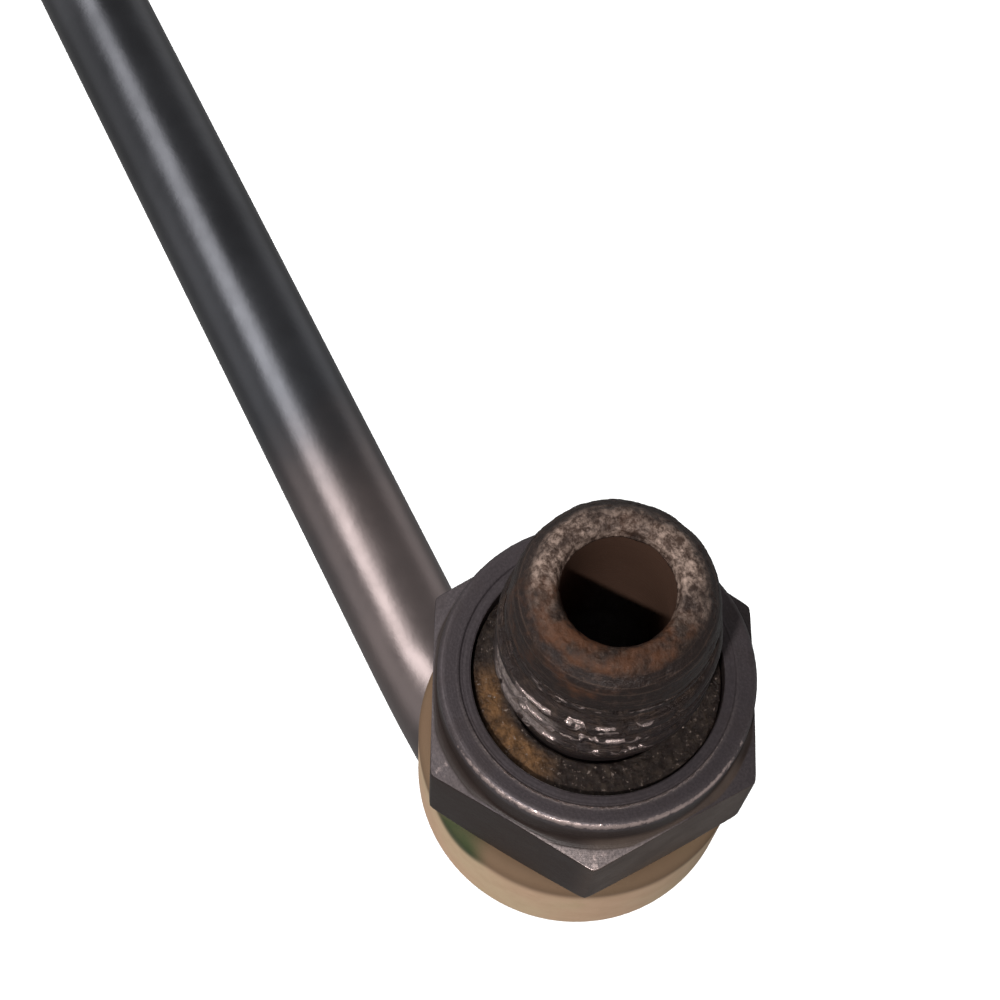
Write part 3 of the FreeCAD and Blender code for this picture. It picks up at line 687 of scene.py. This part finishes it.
def dark_tube(colours):
    """Dark satin coat over drawn steel: blue-grey along most of it, with a painted pinkish highlight near the
    inlet bend.
    """
    material, net, shader = new_material("dark tube", Metallic=0.92, Specular_IOR_Level=0.5)
    coat = tuple(colours.tube)
    place = net.add("ShaderNodeTexCoord").outputs["Object"]
    along = net.add("ShaderNodeSeparateXYZ", Vector=place).outputs["X"]
    cloud = net.speckle(0.05, 4.0, 0.55, seed=7.0)
    base = net.tones(cloud, 0.35, 0.65, scaled(coat, 0.9), scaled(coat, 1.25))
    drift = net.plus(along, net.times(net.minus(cloud, 0.5), 0.05))
    # painted highlight: a paler pinkish base near the inlet bend brightens the reflection there
    bend_highlight = net.remap(drift, 0.030, 0.066, 1.0, 0.0)
    bend_highlight = net.times(bend_highlight, net.remap(drift, 0.004, 0.024))
    base = net.blend(bend_highlight, base, (0.185, 0.150, 0.145))
    marks = net.group("Handling Marks", Rough=0.33, Spread=0.05, Size=0.3)
    net.feed(shader, Base_Color=base, Roughness=marks["Roughness"])
    orange = net.speckle(1.4, 3.0, 0.5, seed=4.0)
    net.bump(shader, orange, 0.015)
    return material


def plain_metal(name, tint, rough, metallic=1.0, density=6.0, axis=0.0, relief=0.02):
    """Turned or drawn bare metal with tool lines and faint handling marks."""
    material, net, shader = new_material(name, Metallic=metallic)
    marks = net.group("Handling Marks", Rough=rough, Spread=0.06, Size=0.6)
    grain = net.speckle(3.0, 5.0, 0.6, seed=6.0)
    base = net.tones(grain, 0.35, 0.65, scaled(tint, 0.86), tint)
    base = net.blend(net.times(marks["Mask"], 0.35), base, scaled(tint, 0.55))
    net.feed(shader, Base_Color=base, Roughness=marks["Roughness"])
    lines = net.group("Tool Lines", Axis=axis, Density=density)["Height"]
    net.bump(shader, lines, relief)
    return material


def soft_rubber():
    """Matt black nitrile with a dusty grain."""
    material, net, shader = new_material("nitrile rubber", Specular_IOR_Level=0.35)
    dust = net.speckle(4.0, 5.0, 0.6, seed=8.0)
    base = net.tones(dust, 0.45, 0.75, (0.012, 0.012, 0.012), (0.045, 0.042, 0.040))
    net.feed(shader, Base_Color=base, Roughness=net.remap(dust, 0.3, 0.7, 0.55, 0.75))
    net.bump(shader, dust, 0.02)
    return material


MATERIALS = {}


def finish_named(label):
    """Return a finish, making it the first time it is asked for."""
    colours = bpy.context.scene.spout_colours
    tip = TIP_X * MM
    makers = {
        "worn_steel": lambda: worn_steel(colours),
        "fibre": lambda: greasy_fibre(colours),
        "yellow_zinc": lambda: tan_zinc(colours),
        "dark_tube": lambda: dark_tube(colours),
        "nitrile": soft_rubber,
        "bronze": lambda: plain_metal("plain bronze", (0.42, 0.25, 0.12), 0.35),
        "stainless": lambda: plain_metal("satin stainless", (0.52, 0.52, 0.53), 0.32, axis=tip),
        "spring_steel": lambda: plain_metal(
            "drawn spring steel", (0.36, 0.36, 0.38), 0.28, density=9.0, axis=tip),
        "bearing_steel": lambda: plain_metal("polished ball steel", (0.66, 0.66, 0.68), 0.12, relief=0.004),
        "plug_steel": lambda: plain_metal("plug steel", (0.22, 0.21, 0.20), 0.40),
        "braze": lambda: plain_metal("braze metal", (0.42, 0.29, 0.12), 0.42, relief=0.05, density=2.0),
        "copper": lambda: plain_metal("annealed copper", (0.52, 0.25, 0.15), 0.38, axis=tip),
        "tip_aluminium": lambda: plain_metal(
            "turned aluminium", (0.50, 0.50, 0.51), 0.30, density=5.0, axis=tip),
        "valve_brass": lambda: plain_metal("turned brass", (0.58, 0.43, 0.18), 0.26, axis=tip),
    }
    if label not in MATERIALS:
        MATERIALS[label] = makers[label]()
    return MATERIALS[label]


# ------------------------------------------------------------------ operators, one for each piece

class MakeStem(bpy.types.Operator):
    """Build the inlet stem: worn nose, thread, recess, land, hexagon and journal"""
    bl_idname = "fuel_spout.make_stem"
    bl_label = "Inlet stem"

    def execute(self, context):
        size = sizes_in_mm(context.scene.spout_stem)
        stem = self.outline(size, sizes_in_mm(context.scene.spout_sizes).journal)
        self.cut_thread(stem, size)
        self.pit_nose(stem, size)
        self.wear_land(stem, size)
        self.polish_hexagon(stem, size)
        stem.masks["inner"][stem.zone == INNER] = 1.0
        mesh = grid_mesh("stem_body", placed(stem.radius, stem.height, stem.angles), stem.masks)
        add_piece("stem_body", mesh, "stem", "worn_steel", "inlet_stem")
        return {"FINISHED"}

    def outline(self, size, journal):
        """Lay out the stem's zones one above the other, with the noise and the masks that they share."""
        angles = angle_list(size.turn)
        bottom = in_mm(STEM_LOW.z)
        lower = rounded_path(
            [(PASSAGE, bottom, 0), (journal - 0.6, bottom, 0.1), (journal, bottom + 0.6, 0.1)]
            + gland(journal, LOW_GLAND) + race_groove(journal, *JOURNAL_RACE) + gland(journal, HIGH_GLAND)
            + [(journal, size.under, 0.15), (size.flats / 2 - 0.3, size.under, 0)], 1.2)
        upper_slope = (size.foot - size.shoulder) / (size.flats / math.sqrt(3) - size.land)
        hexagon = hexagon_rows(
            size.flats, size.turn, angles, size.under, size.flats / 2 - 0.25, size.foot, size.land,
            (0.32, upper_slope), 0.70)
        land = rounded_path([
            (size.land, size.foot + 1.0, 0), (size.land, 0.0, 0.5),
            (STEP_RADIUS, 0.0, 0.1), (STEP_RADIUS - 0.1, -STEP_DEPTH, 0.1),
            (size.recess, -STEP_DEPTH, 0.15), (size.recess, RECESS_FLOOR, 0.2),
            (size.relief, RECESS_FLOOR, 0.3), (size.relief, THREAD_START - 0.5, 0.2),
            (size.crest - 0.25, THREAD_START - 0.1, 0)], 0.16)
        thread_top = size.mouth - NOSE_LENGTH
        thread_rows = np.arange(THREAD_START + 0.02, thread_top, 0.075)
        thread = np.array([(size.crest, height) for height in thread_rows])
        nose = rounded_path([
            (size.crest - 0.60, thread_top + 0.05, 0), (size.crest - 0.60, size.mouth - 3.2, 0.3),
            (6.85, size.mouth - 1.25, 1.2), (5.55, size.mouth, 0.9), (size.bore + 0.35, size.mouth, 0.5),
            (size.bore, size.mouth - 0.9, 0.4), (size.bore, 4.0, 0)], 0.10)
        inner = rounded_path([
            (size.bore, 3.0, 0), (size.bore, BORE_END, 0.1), (PASSAGE, BORE_END, 0.1),
            (PASSAGE, CLIP_TOP, 0), (CLIP_FLOOR, CLIP_TOP, 0), (CLIP_FLOOR, CLIP_BOTTOM, 0),
            (PASSAGE, CLIP_BOTTOM, 0)], 1.5)
        radius, height, zone = joined([
            spun(lower, angles), hexagon, spun(land, angles), spun(thread, angles), spun(nose, angles),
            spun(inner, angles)])
        labels = ("rust", "frost", "nose", "grease", "wear", "inner", "flank", "warm", "sheen")
        stem = SimpleNamespace(
            angles=angles, radius=radius, height=height, zone=zone, rough=np.zeros(radius.shape),
            grit=np.zeros(radius.shape), turns=turn_grid(angles, len(radius)),
            masks={label: np.zeros(radius.shape) for label in labels})
        worked = np.where((zone >= LAND) & (zone <= NOSE))[0]
        points = placed(radius, height, angles)[worked]
        stem.rough[worked] = field(points, 0.55, 2.0, 4)
        stem.grit[worked] = field(points, 2.2, 7.0, 3)
        return stem

    def mark(self, stem, rows, **values):
        """Fill some rows of the named masks."""
        for label, value in values.items():
            stem.masks[label][rows] = value

    def cut_thread(self, stem, size):
        """Cut a helix of worn crests that fades at both ends, with painted glints on the crests and a painted
        sheen on the lowest turns, on the side facing the key light.
        """
        rows = stem.zone == THREAD
        turns, height, rough, grit = stem.turns[rows], stem.height[rows], stem.rough[rows], stem.grit[rows]
        top = size.mouth - NOSE_LENGTH
        turn_count = (height - 0.27) / size.pitch - turns / (2 * math.pi)
        from_crest = np.mod(turn_count, 1.0) - 0.5
        rise = 1 - smooth_between(np.abs(from_crest), 0.17, 0.34)
        start = smooth_between(height, THREAD_START, 4.2)
        fade_high = smooth_between(height, top - 3.1, top - 1.3)
        chipped = 0.26 * smooth_between(rough, 0.22, 0.5) * rise
        groove = size.depth * (1 - rise) * np.maximum(start, 0.3) * (1 - 0.45 * fade_high)
        stem.radius[rows] -= groove + chipped
        stem.radius[rows] += 0.03 * grit - 0.04 - 0.54 * fade_high
        patches = np.stack([turns * 7.8, np.floor(turn_count) * 9.0, height * 1.5], axis=-1)
        bright = smooth_between(field(patches, 0.9, 3.0, 2), -0.05, 0.20)
        # painted glints: crests and their lips are brighter in patches on the side facing the key light
        lit = facing(turns, GLINT_SIDE, 0.50, 0.93) * bright
        crest_wear_and_glint = smooth_between(rise, 0.55, 0.95) * (0.10 + 0.85 * lit) * (1 - 0.3 * fade_high)
        lip = np.exp(-((from_crest - 0.12) / 0.07) ** 2) * (0.55 + 0.35 * grit)
        # painted sheen in a crescent on the lowest turns
        low_turn = (height < 8.2) * (height > 4.4) * smooth_between(rise, 0.3, 0.8)
        crescent = facing(turns, CRESCENT_SIDE, 0.84, 0.97)
        self.mark(
            stem, rows, grease=np.clip(1.15 - 0.25 * rise, 0, 1), nose=smooth_between(height, top - 1.0, top),
            wear=np.maximum(crest_wear_and_glint, lip * (0.25 + 0.95 * lit + 0.25 * bright)),
            sheen=0.48 * low_turn * crescent * (0.8 + 0.5 * rough))

    def pit_nose(self, stem, size):
        """Pit the nose: golden rust at the mouth's near side, pale specks elsewhere, dark down the slope."""
        rows = stem.zone == NOSE
        turns, rough, grit = stem.turns[rows], stem.rough[rows], stem.grit[rows]
        outside = stem.radius[rows] > size.bore + 0.02
        pits = smooth_between(grit, 0.15, 0.6)
        stem.height[rows] += outside * (0.06 * rough - 0.08 * pits - 0.07)
        stem.radius[rows] += outside * (0.06 * rough + 0.04 * grit - 0.06)
        near = facing(turns, NEAR_SIDE, 0.15, 0.75)
        left = facing(turns, OCHRE_SIDE, 0.72, 0.96)
        annulus = 1 - smooth_between(stem.radius[rows], 5.5, 6.3)
        slope_rust = facing(turns, CRESCENT_SIDE, -0.1, 0.9) * (0.26 + 0.5 * rough) * (1 - annulus)
        rust = np.clip(annulus * (0.34 + 0.75 * near + 0.3 * rough) + slope_rust, 0, 1)
        pale = np.maximum(facing(turns, PALE_LEFT, 0.45, 0.95), facing(turns, PALE_RIGHT, 0.45, 0.95))
        frost = (1 - 0.97 * near) * (1.05 + 0.8 * rough) * (0.5 + 0.5 * pale) * (1 - 0.7 * left)
        self.mark(
            stem, rows, nose=outside, inner=1.0 - outside, frost=outside * annulus * np.clip(frost, 0, 1),
            rust=outside * np.maximum(rust, 0.8 * left * annulus))

    def wear_land(self, stem, size):
        """Grease the recess, wear the land's rim and step, and paint highlights and a sheen on them on the
        near side, where the key light falls.
        """
        rows = stem.zone == LAND
        radius, height, grit = stem.radius[rows], stem.height[rows], stem.grit[rows]
        deep = radius < size.recess + 0.05
        rim = np.exp(-((radius - size.land + 0.14) / 0.28) ** 2 - ((height + 0.22) / 0.48) ** 2)
        step = np.exp(-((radius - STEP_RADIUS - 0.07) / 0.16) ** 2) * (height > -0.5)
        near = facing(stem.turns[rows], NEAR_SIDE, -0.2, 0.95)
        # rim and step: some real wear, plus painted highlight and painted sheen on the near side, where the
        # key light falls
        wear = rim * (0.15 + 0.70 * near + 0.25 * grit) + 1.1 * step * near * (0.8 + 0.4 * grit)
        shine = near * np.maximum(0.12 * rim, 0.30 * step)
        stem.radius[rows] += 0.02 * grit * rim
        wall = stem.radius[rows] > size.recess + 0.5
        self.mark(
            stem, rows, grease=deep * (1.0 - 0.35 * (height > RECESS_FLOOR + 0.2)), wear=wear,
            sheen=shine * (0.8 + 0.4 * stem.rough[rows]), flank=smooth_between(-height, 0.6, 1.4) * wall)

    def polish_hexagon(self, stem, size):
        """Darken the hexagon's sides with a painted warm reflection on one, wear the corners where spanners
        rub, and paint glints and a sheen on the upper edges and the shelf on the near side, where the key
        light falls.
        """
        rows = stem.zone == HEXAGON
        turns = stem.turns[rows]
        corner = smooth_between(hexagon_radius(size.flats, size.turn, turns), 13.62, 13.80)
        edge = np.zeros(turns.shape)
        edge[EDGE_ROWS] = 1.0
        shelf = np.zeros(turns.shape)
        shelf[SHELF_ROWS] = 1.0
        near = facing(turns, NEAR_SIDE, 0.80, 0.97)
        left = facing(turns, OCHRE_SIDE, 0.90, 0.99)
        # shelf and upper edges: some real wear, plus painted glints and painted sheen, strongest at the near
        # and left corners where the key light reflects
        shelf_wear_and_glint = 0.168 + 0.361 * near + 0.302 * left
        # warm: one side painted lighter brown as a reflection of warm surroundings
        self.mark(
            stem, rows, flank=1.0 - shelf, warm=facing(turns, WARM_REFLECTION_SIDE, 0.80, 0.90),
            sheen=shelf * (0.03 + 0.36 * near + 0.07 * left),
            wear=np.clip(0.15 * corner + 0.275 * edge * near + shelf * shelf_wear_and_glint, 0, 1))


class MakeSeal(bpy.types.Operator):
    """Build the worn, greasy seal on the recess's floor"""
    bl_idname = "fuel_spout.make_seal"
    bl_label = "Recess seal"

    def execute(self, context):
        low, high = in_mm(SEAL_LOW.z), in_mm(SEAL_HIGH.z)
        hole, outer, face = SEAL_HOLE, in_mm(SEAL_HIGH.x), high - 0.1
        angles = angle_list(coarse=420)
        path = rounded_path([
            (hole, low, 0.1), (outer, low, 0.1), (outer, face, 0.25), (hole, face, 0.25)], 0.11, True)
        radius, height = spun(path, angles)
        points = placed(radius, height, angles)
        lumps = field(points, 0.7, 5.0, 4)
        grit = field(points, 2.4, 1.0, 3)
        upper = smooth_between(height, low + 0.6, high - 0.2)
        height += upper * (0.14 * lumps + 0.08 * grit - 0.10)
        turns = turn_grid(angles, len(radius))
        patch = facing(turns, OCHRE_PATCH, 0.76, 0.95) * smooth_between(radius, 6.8, 7.7)
        patch *= 1 - 0.55 * smooth_between(radius, 8.3, 9.1)
        mesh = grid_mesh("seal_face", placed(radius, height, angles), {"rust": patch * upper})
        add_piece("seal_face", mesh, "stem", "fibre", "inlet_seal")
        return {"FINISHED"}


class MakeCollar(bpy.types.Operator):
    """Build the swivel collar with its soft rims, a painted brown shadow below the hexagon and its green
    inspection mark
    """
    bl_idname = "fuel_spout.make_collar"
    bl_label = "Swivel collar"

    def execute(self, context):
        size = sizes_in_mm(context.scene.spout_sizes)
        outer, front, end = in_mm(COLLAR_HIGH.x), in_mm(COLLAR_HIGH.z), in_mm(COLLAR_LOW.z)
        bore = size.journal + 0.05
        angles = angle_list(coarse=360)
        path = rounded_path([
            (bore, front - 2.0, 0), (SEAL_POCKET, front - 2.0, 0.1), (SEAL_POCKET, front, 0.15),
            (outer, front, 1.1),
            (outer, size.rim, 0.8), (size.neck, size.rim, 0.5), (size.neck, end, 0.7),
            (TUBE_SOCKET, end, 0.1), (TUBE_SOCKET, SOCKET_TOP, 0), (THROAT, SOCKET_TOP, 0),
            (THROAT, THROAT_TOP, 0), (bore, THROAT_TOP, 0)] + race_groove(bore, *COLLAR_RACE), 0.4, True)
        radius, height = spun(path, angles)
        turns = turn_grid(angles, len(radius))
        wander = 0.25 * np.sin(3 * turns + 0.4) + 0.15 * np.sin(7 * turns)
        # painted shadow: darker brown on the collar just below the hexagon
        hex_shadow = smooth_between(height, front - 2.8 + 0.6 * wander, front - 0.7) * (radius > 9.0)
        across = np.angle(np.exp(1j * (turns - MARK_SIDE))) * outer
        reach = np.hypot(across / 3.2, (height - front + 1.3) / 2.1) + 0.3 * wander
        mark = (1 - smooth_between(reach, 0.45, 1.15)) * (radius > 11.0)
        masks = {"grease": 0.9 * hex_shadow, "green": mark}
        mesh = grid_mesh("collar_shell", placed(radius, height, angles), masks)
        add_piece("collar_shell", mesh, "spout", "yellow_zinc", "swivel_collar")
        dress("ball_plug", "plug_steel")
        return {"FINISHED"}


class MakeTube(bpy.types.Operator):
    """Build the bent spout tube and its two braze fillets"""
    bl_idname = "fuel_spout.make_tube"
    bl_label = "Spout tube"

    def execute(self, context):
        size = sizes_in_mm(context.scene.spout_sizes)
        outer = in_mm(TUBE_HIGH.y)
        start, end = in_mm(TUBE_HIGH.z), in_mm(TUBE_LOW.z)
        stations = self.centreline(start, end, size.bend, size.run)
        around = np.linspace(0, 2 * math.pi, 128, endpoint=False)
        across = np.sin(around)[:, None] * np.array([[0.0, 1.0, 0.0]])
        rings = []
        for radius, way in ((outer, stations), (outer - size.wall, stations[::-1])):
            for spot, heading, bent in way:
                side = np.array([[heading[2], 0.0, -heading[0]]])
                squeeze = 1 - BEND_SQUEEZE * bent
                rings.append(spot + radius * (squeeze * np.cos(around)[:, None] * side + across))
        add_piece("spout_pipe", grid_mesh("spout_pipe", np.array(rings)), "spout", "dark_tube", "spout_tube")
        for node_name in ("collar_braze", "tip_braze"):
            self.make_braze(node_name, outer)
        return {"FINISHED"}

    def centreline(self, start, end, bend, run):
        """List (place, heading, bend share) along the tube's straight runs and arcs."""
        down, along = np.array([0.0, 0.0, -1.0]), np.array([1.0, 0.0, 0.0])
        first, second = np.array([bend, 0.0, run + bend]), np.array([TIP_X - bend, 0.0, run - bend])
        stations = [(-height * down, down, 0.0) for height in np.linspace(start, run + bend, 14)]
        stations += self.arc(first, down, along, bend)
        straight = np.linspace(bend, TIP_X - bend, 60)[1:]
        stations += [(across * along - run * down, along, 0.0) for across in straight]
        stations += self.arc(second, along, down, bend)
        drop = np.linspace(run - bend, end, 14)[1:]
        stations += [(TIP_X * along - height * down, down, 0.0) for height in drop]
        return stations

    def arc(self, centre, before, after, bend):
        """List the same along a right-angled bend from one heading to another."""
        stations = []
        for turn in np.radians(np.arange(2, 91, 2)):
            place = centre + bend * (math.sin(turn) * before - math.cos(turn) * after)
            share = math.sin(2 * turn) ** 0.5 if turn < 1.57 else 0.0
            stations.append((place, math.cos(turn) * before + math.sin(turn) * after, share))
        return stations

    def make_braze(self, node_name, tube_radius):
        """Build one fillet of braze metal with the ripples it sets in."""
        low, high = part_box(node_name)
        axis = in_mm((low.x + high.x) / 2)
        wide = in_mm((high.x - low.x) / 2)
        bottom, top = in_mm(low.z), in_mm(high.z)
        face, toe = (top, bottom) if node_name == "collar_braze" else (bottom, top)
        angles = angle_list(coarse=160)
        path = rounded_path([
            (tube_radius + 0.01, face, 0), (wide, face, 0.1),
            (tube_radius + 0.55, face + 0.35 * (toe - face), 0.5), (tube_radius + 0.03, toe, 0)], 0.12, True)
        radius, height = spun(path, angles)
        turns = turn_grid(angles, len(radius))
        ripple = 0.06 * np.sin(11 * turns) + 0.04 * np.sin(17 * turns + 1.0)
        radius += np.where(radius > tube_radius + 0.1, ripple - 0.10, 0.0)
        mesh = grid_mesh(node_name + "_bead", placed(radius, height, angles, axis))
        add_piece(node_name + "_bead", mesh, "spout", "braze", node_name)


class MakeTip(bpy.types.Operator):
    """Build the tip adapter and the grooved tip nose"""
    bl_idname = "fuel_spout.make_tip"
    bl_label = "Anti-drip tip"

    def execute(self, context):
        size = sizes_in_mm(context.scene.spout_sizes)
        self.make_adapter()
        self.make_nose(size.grips)
        return {"FINISHED"}

    def make_adapter(self):
        """Build the adapter: neck, hexagon and spigot with the valve seat."""
        top, seat = in_mm(ADAPTER_HIGH.z), in_mm(ADAPTER_LOW.z)
        angles = angle_list(0.0, 240)
        flats = in_mm(ADAPTER_HIGH.y - ADAPTER_LOW.y)
        neck, spigot, passage, throat = 8.4, 7.0, 4.75, 3.0
        shelf, hex_top, tube_stop = -121.0, -113.0, -116.0
        lower = rounded_path([
            (passage, tube_stop - 3.0, 0), (throat, shelf, 0.2), (throat, seat, 0.15), (6.4, seat, 0.1),
            (spigot, seat + 0.6, 0.1), (spigot, shelf, 0.1), (flats / 2 - 0.3, shelf, 0)], 0.6)
        hexagon = hexagon_rows(flats, 0.0, angles, shelf, flats / 2 - 0.25, hex_top, neck, (0.5, 0.32), 0.4)
        upper = rounded_path([
            (neck, hex_top + 0.4, 0), (neck, top, 0.7), (TUBE_SOCKET, top, 0.15),
            (TUBE_SOCKET, tube_stop, 0.1), (passage, tube_stop, 0.1), (passage, tube_stop - 2.0, 0)], 0.6)
        radius, height = joined([spun(lower, angles), hexagon, spun(upper, angles)])[:2]
        masks = {label: np.zeros(radius.shape) for label in ("grease", "green")}
        mesh = grid_mesh("adapter_body", placed(radius, height, angles, TIP_X), masks)
        add_piece("adapter_body", mesh, "spout", "yellow_zinc", "tip_adapter")

    def make_nose(self, grips):
        """Build the tip nose with its grip grooves and tapered mouth."""
        top, end = in_mm(NOSE_HIGH.z), in_mm(NOSE_LOW.z)
        wide = in_mm((NOSE_HIGH.x - NOSE_LOW.x) / 2)
        grooves = []
        for step in range(grips):
            middle = top - 5.7 - GRIP_PITCH * step
            grooves += [(wide, middle + 0.5, 0.15), (wide - 0.5, middle, 0.12), (wide, middle - 0.5, 0.15)]
        socket, chamber, clip_floor, mouth = 7.02, 6.1, 6.8, 4.0
        clip_low, clip_high, shelf = -146.1, -145.2, -130.5
        path = rounded_path([(socket, top, 0.1), (wide, top, 0.6)] + grooves + [
            (wide, -150.0, 1.2), (6.2, end, 0.6), (mouth, end, 0.3), (mouth, -153.0, 0.2),
            (chamber, -151.0, 0.2), (chamber, clip_low, 0), (clip_floor, clip_low, 0),
            (clip_floor, clip_high, 0), (chamber, clip_high, 0), (chamber, shelf, 0),
            (socket, shelf, 0)], 0.4, True)
        angles = angle_list(coarse=240)
        radius, height = spun(path, angles)
        mesh = grid_mesh("tip_shell", placed(radius, height, angles, TIP_X))
        add_piece("tip_shell", mesh, "spout", "tip_aluminium", "tip_nose")


class MakeSpring(bpy.types.Operator):
    """Build the valve spring; in use it shortens as the poppet lifts"""
    bl_idname = "fuel_spout.make_spring"
    bl_label = "Valve spring"

    def execute(self, context):
        size = sizes_in_mm(context.scene.spout_sizes)
        foot, top = in_mm(SPRING_LOW.z), in_mm(SPRING_HIGH.z)
        wire = size.wire
        mean = in_mm((SPRING_HIGH.x - SPRING_LOW.x) / 2) - wire
        around = np.linspace(0, 2 * math.pi, 16, endpoint=False)
        upward = np.sin(around)[:, None] * np.array([0.0, 0.0, 1.0])
        turns = np.linspace(0, 2 * math.pi * size.coils, 48 * size.coils + 1)
        rings = []
        for turn, height in zip(turns, np.linspace(foot + wire, top - wire, len(turns))):
            outward = np.array([math.cos(turn), math.sin(turn), 0.0])
            spot = np.array([TIP_X, 0.0, height]) + mean * outward
            rings.append(spot + wire * (np.cos(around)[:, None] * outward + upward))
        mesh = grid_mesh("spring_coil", np.array(rings), closed=False)
        shape = bmesh.new()
        shape.from_mesh(mesh)
        bmesh.ops.holes_fill(shape, edges=shape.edges)
        shape.to_mesh(mesh)
        shape.free()
        coil = add_piece("spring_coil", mesh, "spout", "spring_steel", "valve_spring")
        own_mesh(coil)
        return {"FINISHED"}


class DressInnerPieces(bpy.types.Operator):
    """Give the seals, balls, strainer, washers and valve pieces their finishes"""
    bl_idname = "fuel_spout.dress_inner_pieces"
    bl_label = "Inner pieces"

    def execute(self, context):
        slots = {row["node"]: row["material_slot"] for row in frame["record"]["subparts"]}
        for node_name in INNER_PIECES:
            if node_name not in slots:
                raise RuntimeError(f"the frame has no node named {node_name}")
            dress(node_name, slots[node_name])
        return {"FINISHED"}


class MakeStage(bpy.types.Operator):
    """Set the pale floor, the soft studio light and the camera"""
    bl_idname = "fuel_spout.make_stage"
    bl_label = "Stage"

    def execute(self, context):
        scene = context.scene
        self.make_floor(scene)
        self.make_light(scene)
        self.make_camera(scene)
        return {"FINISHED"}

    def make_floor(self, scene):
        """Lay a wide pale floor well below the spout, which hangs from its inlet."""
        mesh = bpy.data.meshes.new("floor")
        reach = 40.0
        level = CAD_BOX[0][2] - FLOOR_DROP
        mesh.from_pydata(
            [(-reach, -reach, level), (reach, -reach, level), (reach, reach, level), (-reach, reach, level)],
            [], [(0, 1, 2, 3)])
        look = dict(Base_Color=(0.90, 0.90, 0.90), Roughness=0.9, Specular_IOR_Level=0.1)
        mesh.materials.append(new_material("pale floor", **look)[0])
        floor = bpy.data.objects.new("floor", mesh)
        floor.visible_glossy = False
        floor.visible_diffuse = False
        scene.collection.objects.link(floor)

    def make_light(self, scene):
        """A small hard key, a long softbox over the tube and a surround that is palest at the horizon."""
        key = bpy.data.lights.new("key", "SUN")
        key.energy = 4.2
        key.angle = math.radians(3.0)
        self.aim(scene, key, KEY_DIRECTION, 0.5)
        softbox = bpy.data.lights.new("softbox", "AREA")
        softbox.shape = "RECTANGLE"
        softbox.size = 0.9
        softbox.size_y = 0.5
        softbox.energy = 9.2
        self.aim(scene, softbox, SOFTBOX_DIRECTION, 1.2)
        world = bpy.data.worlds.new("surround")
        world.use_nodes = True
        net = Net(world.node_tree)
        heading = net.add("ShaderNodeTexCoord").outputs["Generated"]
        height = net.add("ShaderNodeSeparateXYZ", Vector=heading).outputs["Z"]
        band = net.remap(net.maths("ABSOLUTE", height), 0.12, 0.42, 0.85, 0.24)
        net.feed(world.node_tree.nodes["Background"], Color=(1.0, 1.0, 1.0), Strength=band)
        scene.world = world
        scene.view_settings.view_transform = "Standard"

    def aim(self, scene, light, direction, distance):
        """Hang a light so that it shines from a direction."""
        lamp = bpy.data.objects.new(light.name, light)
        lamp.location = Vector(direction) * distance
        lamp.rotation_euler = Vector(direction).to_track_quat("Z", "Y").to_euler()
        scene.collection.objects.link(lamp)

    def make_camera(self, scene):
        """Look down on the nipple from its front left, close up."""
        lens = bpy.data.cameras.new("camera")
        lens.lens = 74.0
        lens.sensor_width = 36.0
        lens.clip_start = 0.01
        lens.clip_end = 20.0
        camera = bpy.data.objects.new("camera", lens)
        camera.location = CAMERA_PLACE
        camera.rotation_euler = [math.radians(part) for part in CAMERA_TURN]
        scene.collection.objects.link(camera)
        scene.camera = camera


class SpoutPanel(bpy.types.Panel):
    """Lists the spout's pieces and the sizes and colours behind them"""
    bl_label = "Fuel Spout"
    bl_idname = "VIEW3D_PT_fuel_spout"
    bl_space_type = "VIEW_3D"
    bl_region_type = "UI"
    bl_category = "Fuel Spout"

    def draw(self, context):
        for operator in OPERATORS:
            self.layout.operator(operator.bl_idname)
        for label, group in (("Stem", "spout_stem"), ("Spout", "spout_sizes"), ("Colours", "spout_colours")):
            self.layout.label(text=label)
            holder = getattr(context.scene, group)
            for key in holder.__annotations__:
                self.layout.prop(holder, key)


OPERATORS = (MakeStage, MakeStem, MakeSeal, MakeCollar, MakeTube, MakeTip, MakeSpring, DressInnerPieces)
CLASSES = (StemSizes, SpoutSizes, SpoutColours) + OPERATORS + (SpoutPanel,)


def register():
    """Register the classes and hang the settings on the scene."""
    for item in CLASSES:
        bpy.utils.register_class(item)
    bpy.types.Scene.spout_stem = PointerProperty(type=StemSizes)
    bpy.types.Scene.spout_sizes = PointerProperty(type=SpoutSizes)
    bpy.types.Scene.spout_colours = PointerProperty(type=SpoutColours)


def unregister():
    """Take the settings and classes away again."""
    del bpy.types.Scene.spout_colours
    del bpy.types.Scene.spout_sizes
    del bpy.types.Scene.spout_stem
    for item in reversed(CLASSES):
        bpy.utils.unregister_class(item)


def main():
    """Register the classes and build everything in order."""
    register()
    for operator in OPERATORS:
        family, action = operator.bl_idname.split(".")
        getattr(getattr(bpy.ops, family), action)()


if __name__ == "__main__":
    main()
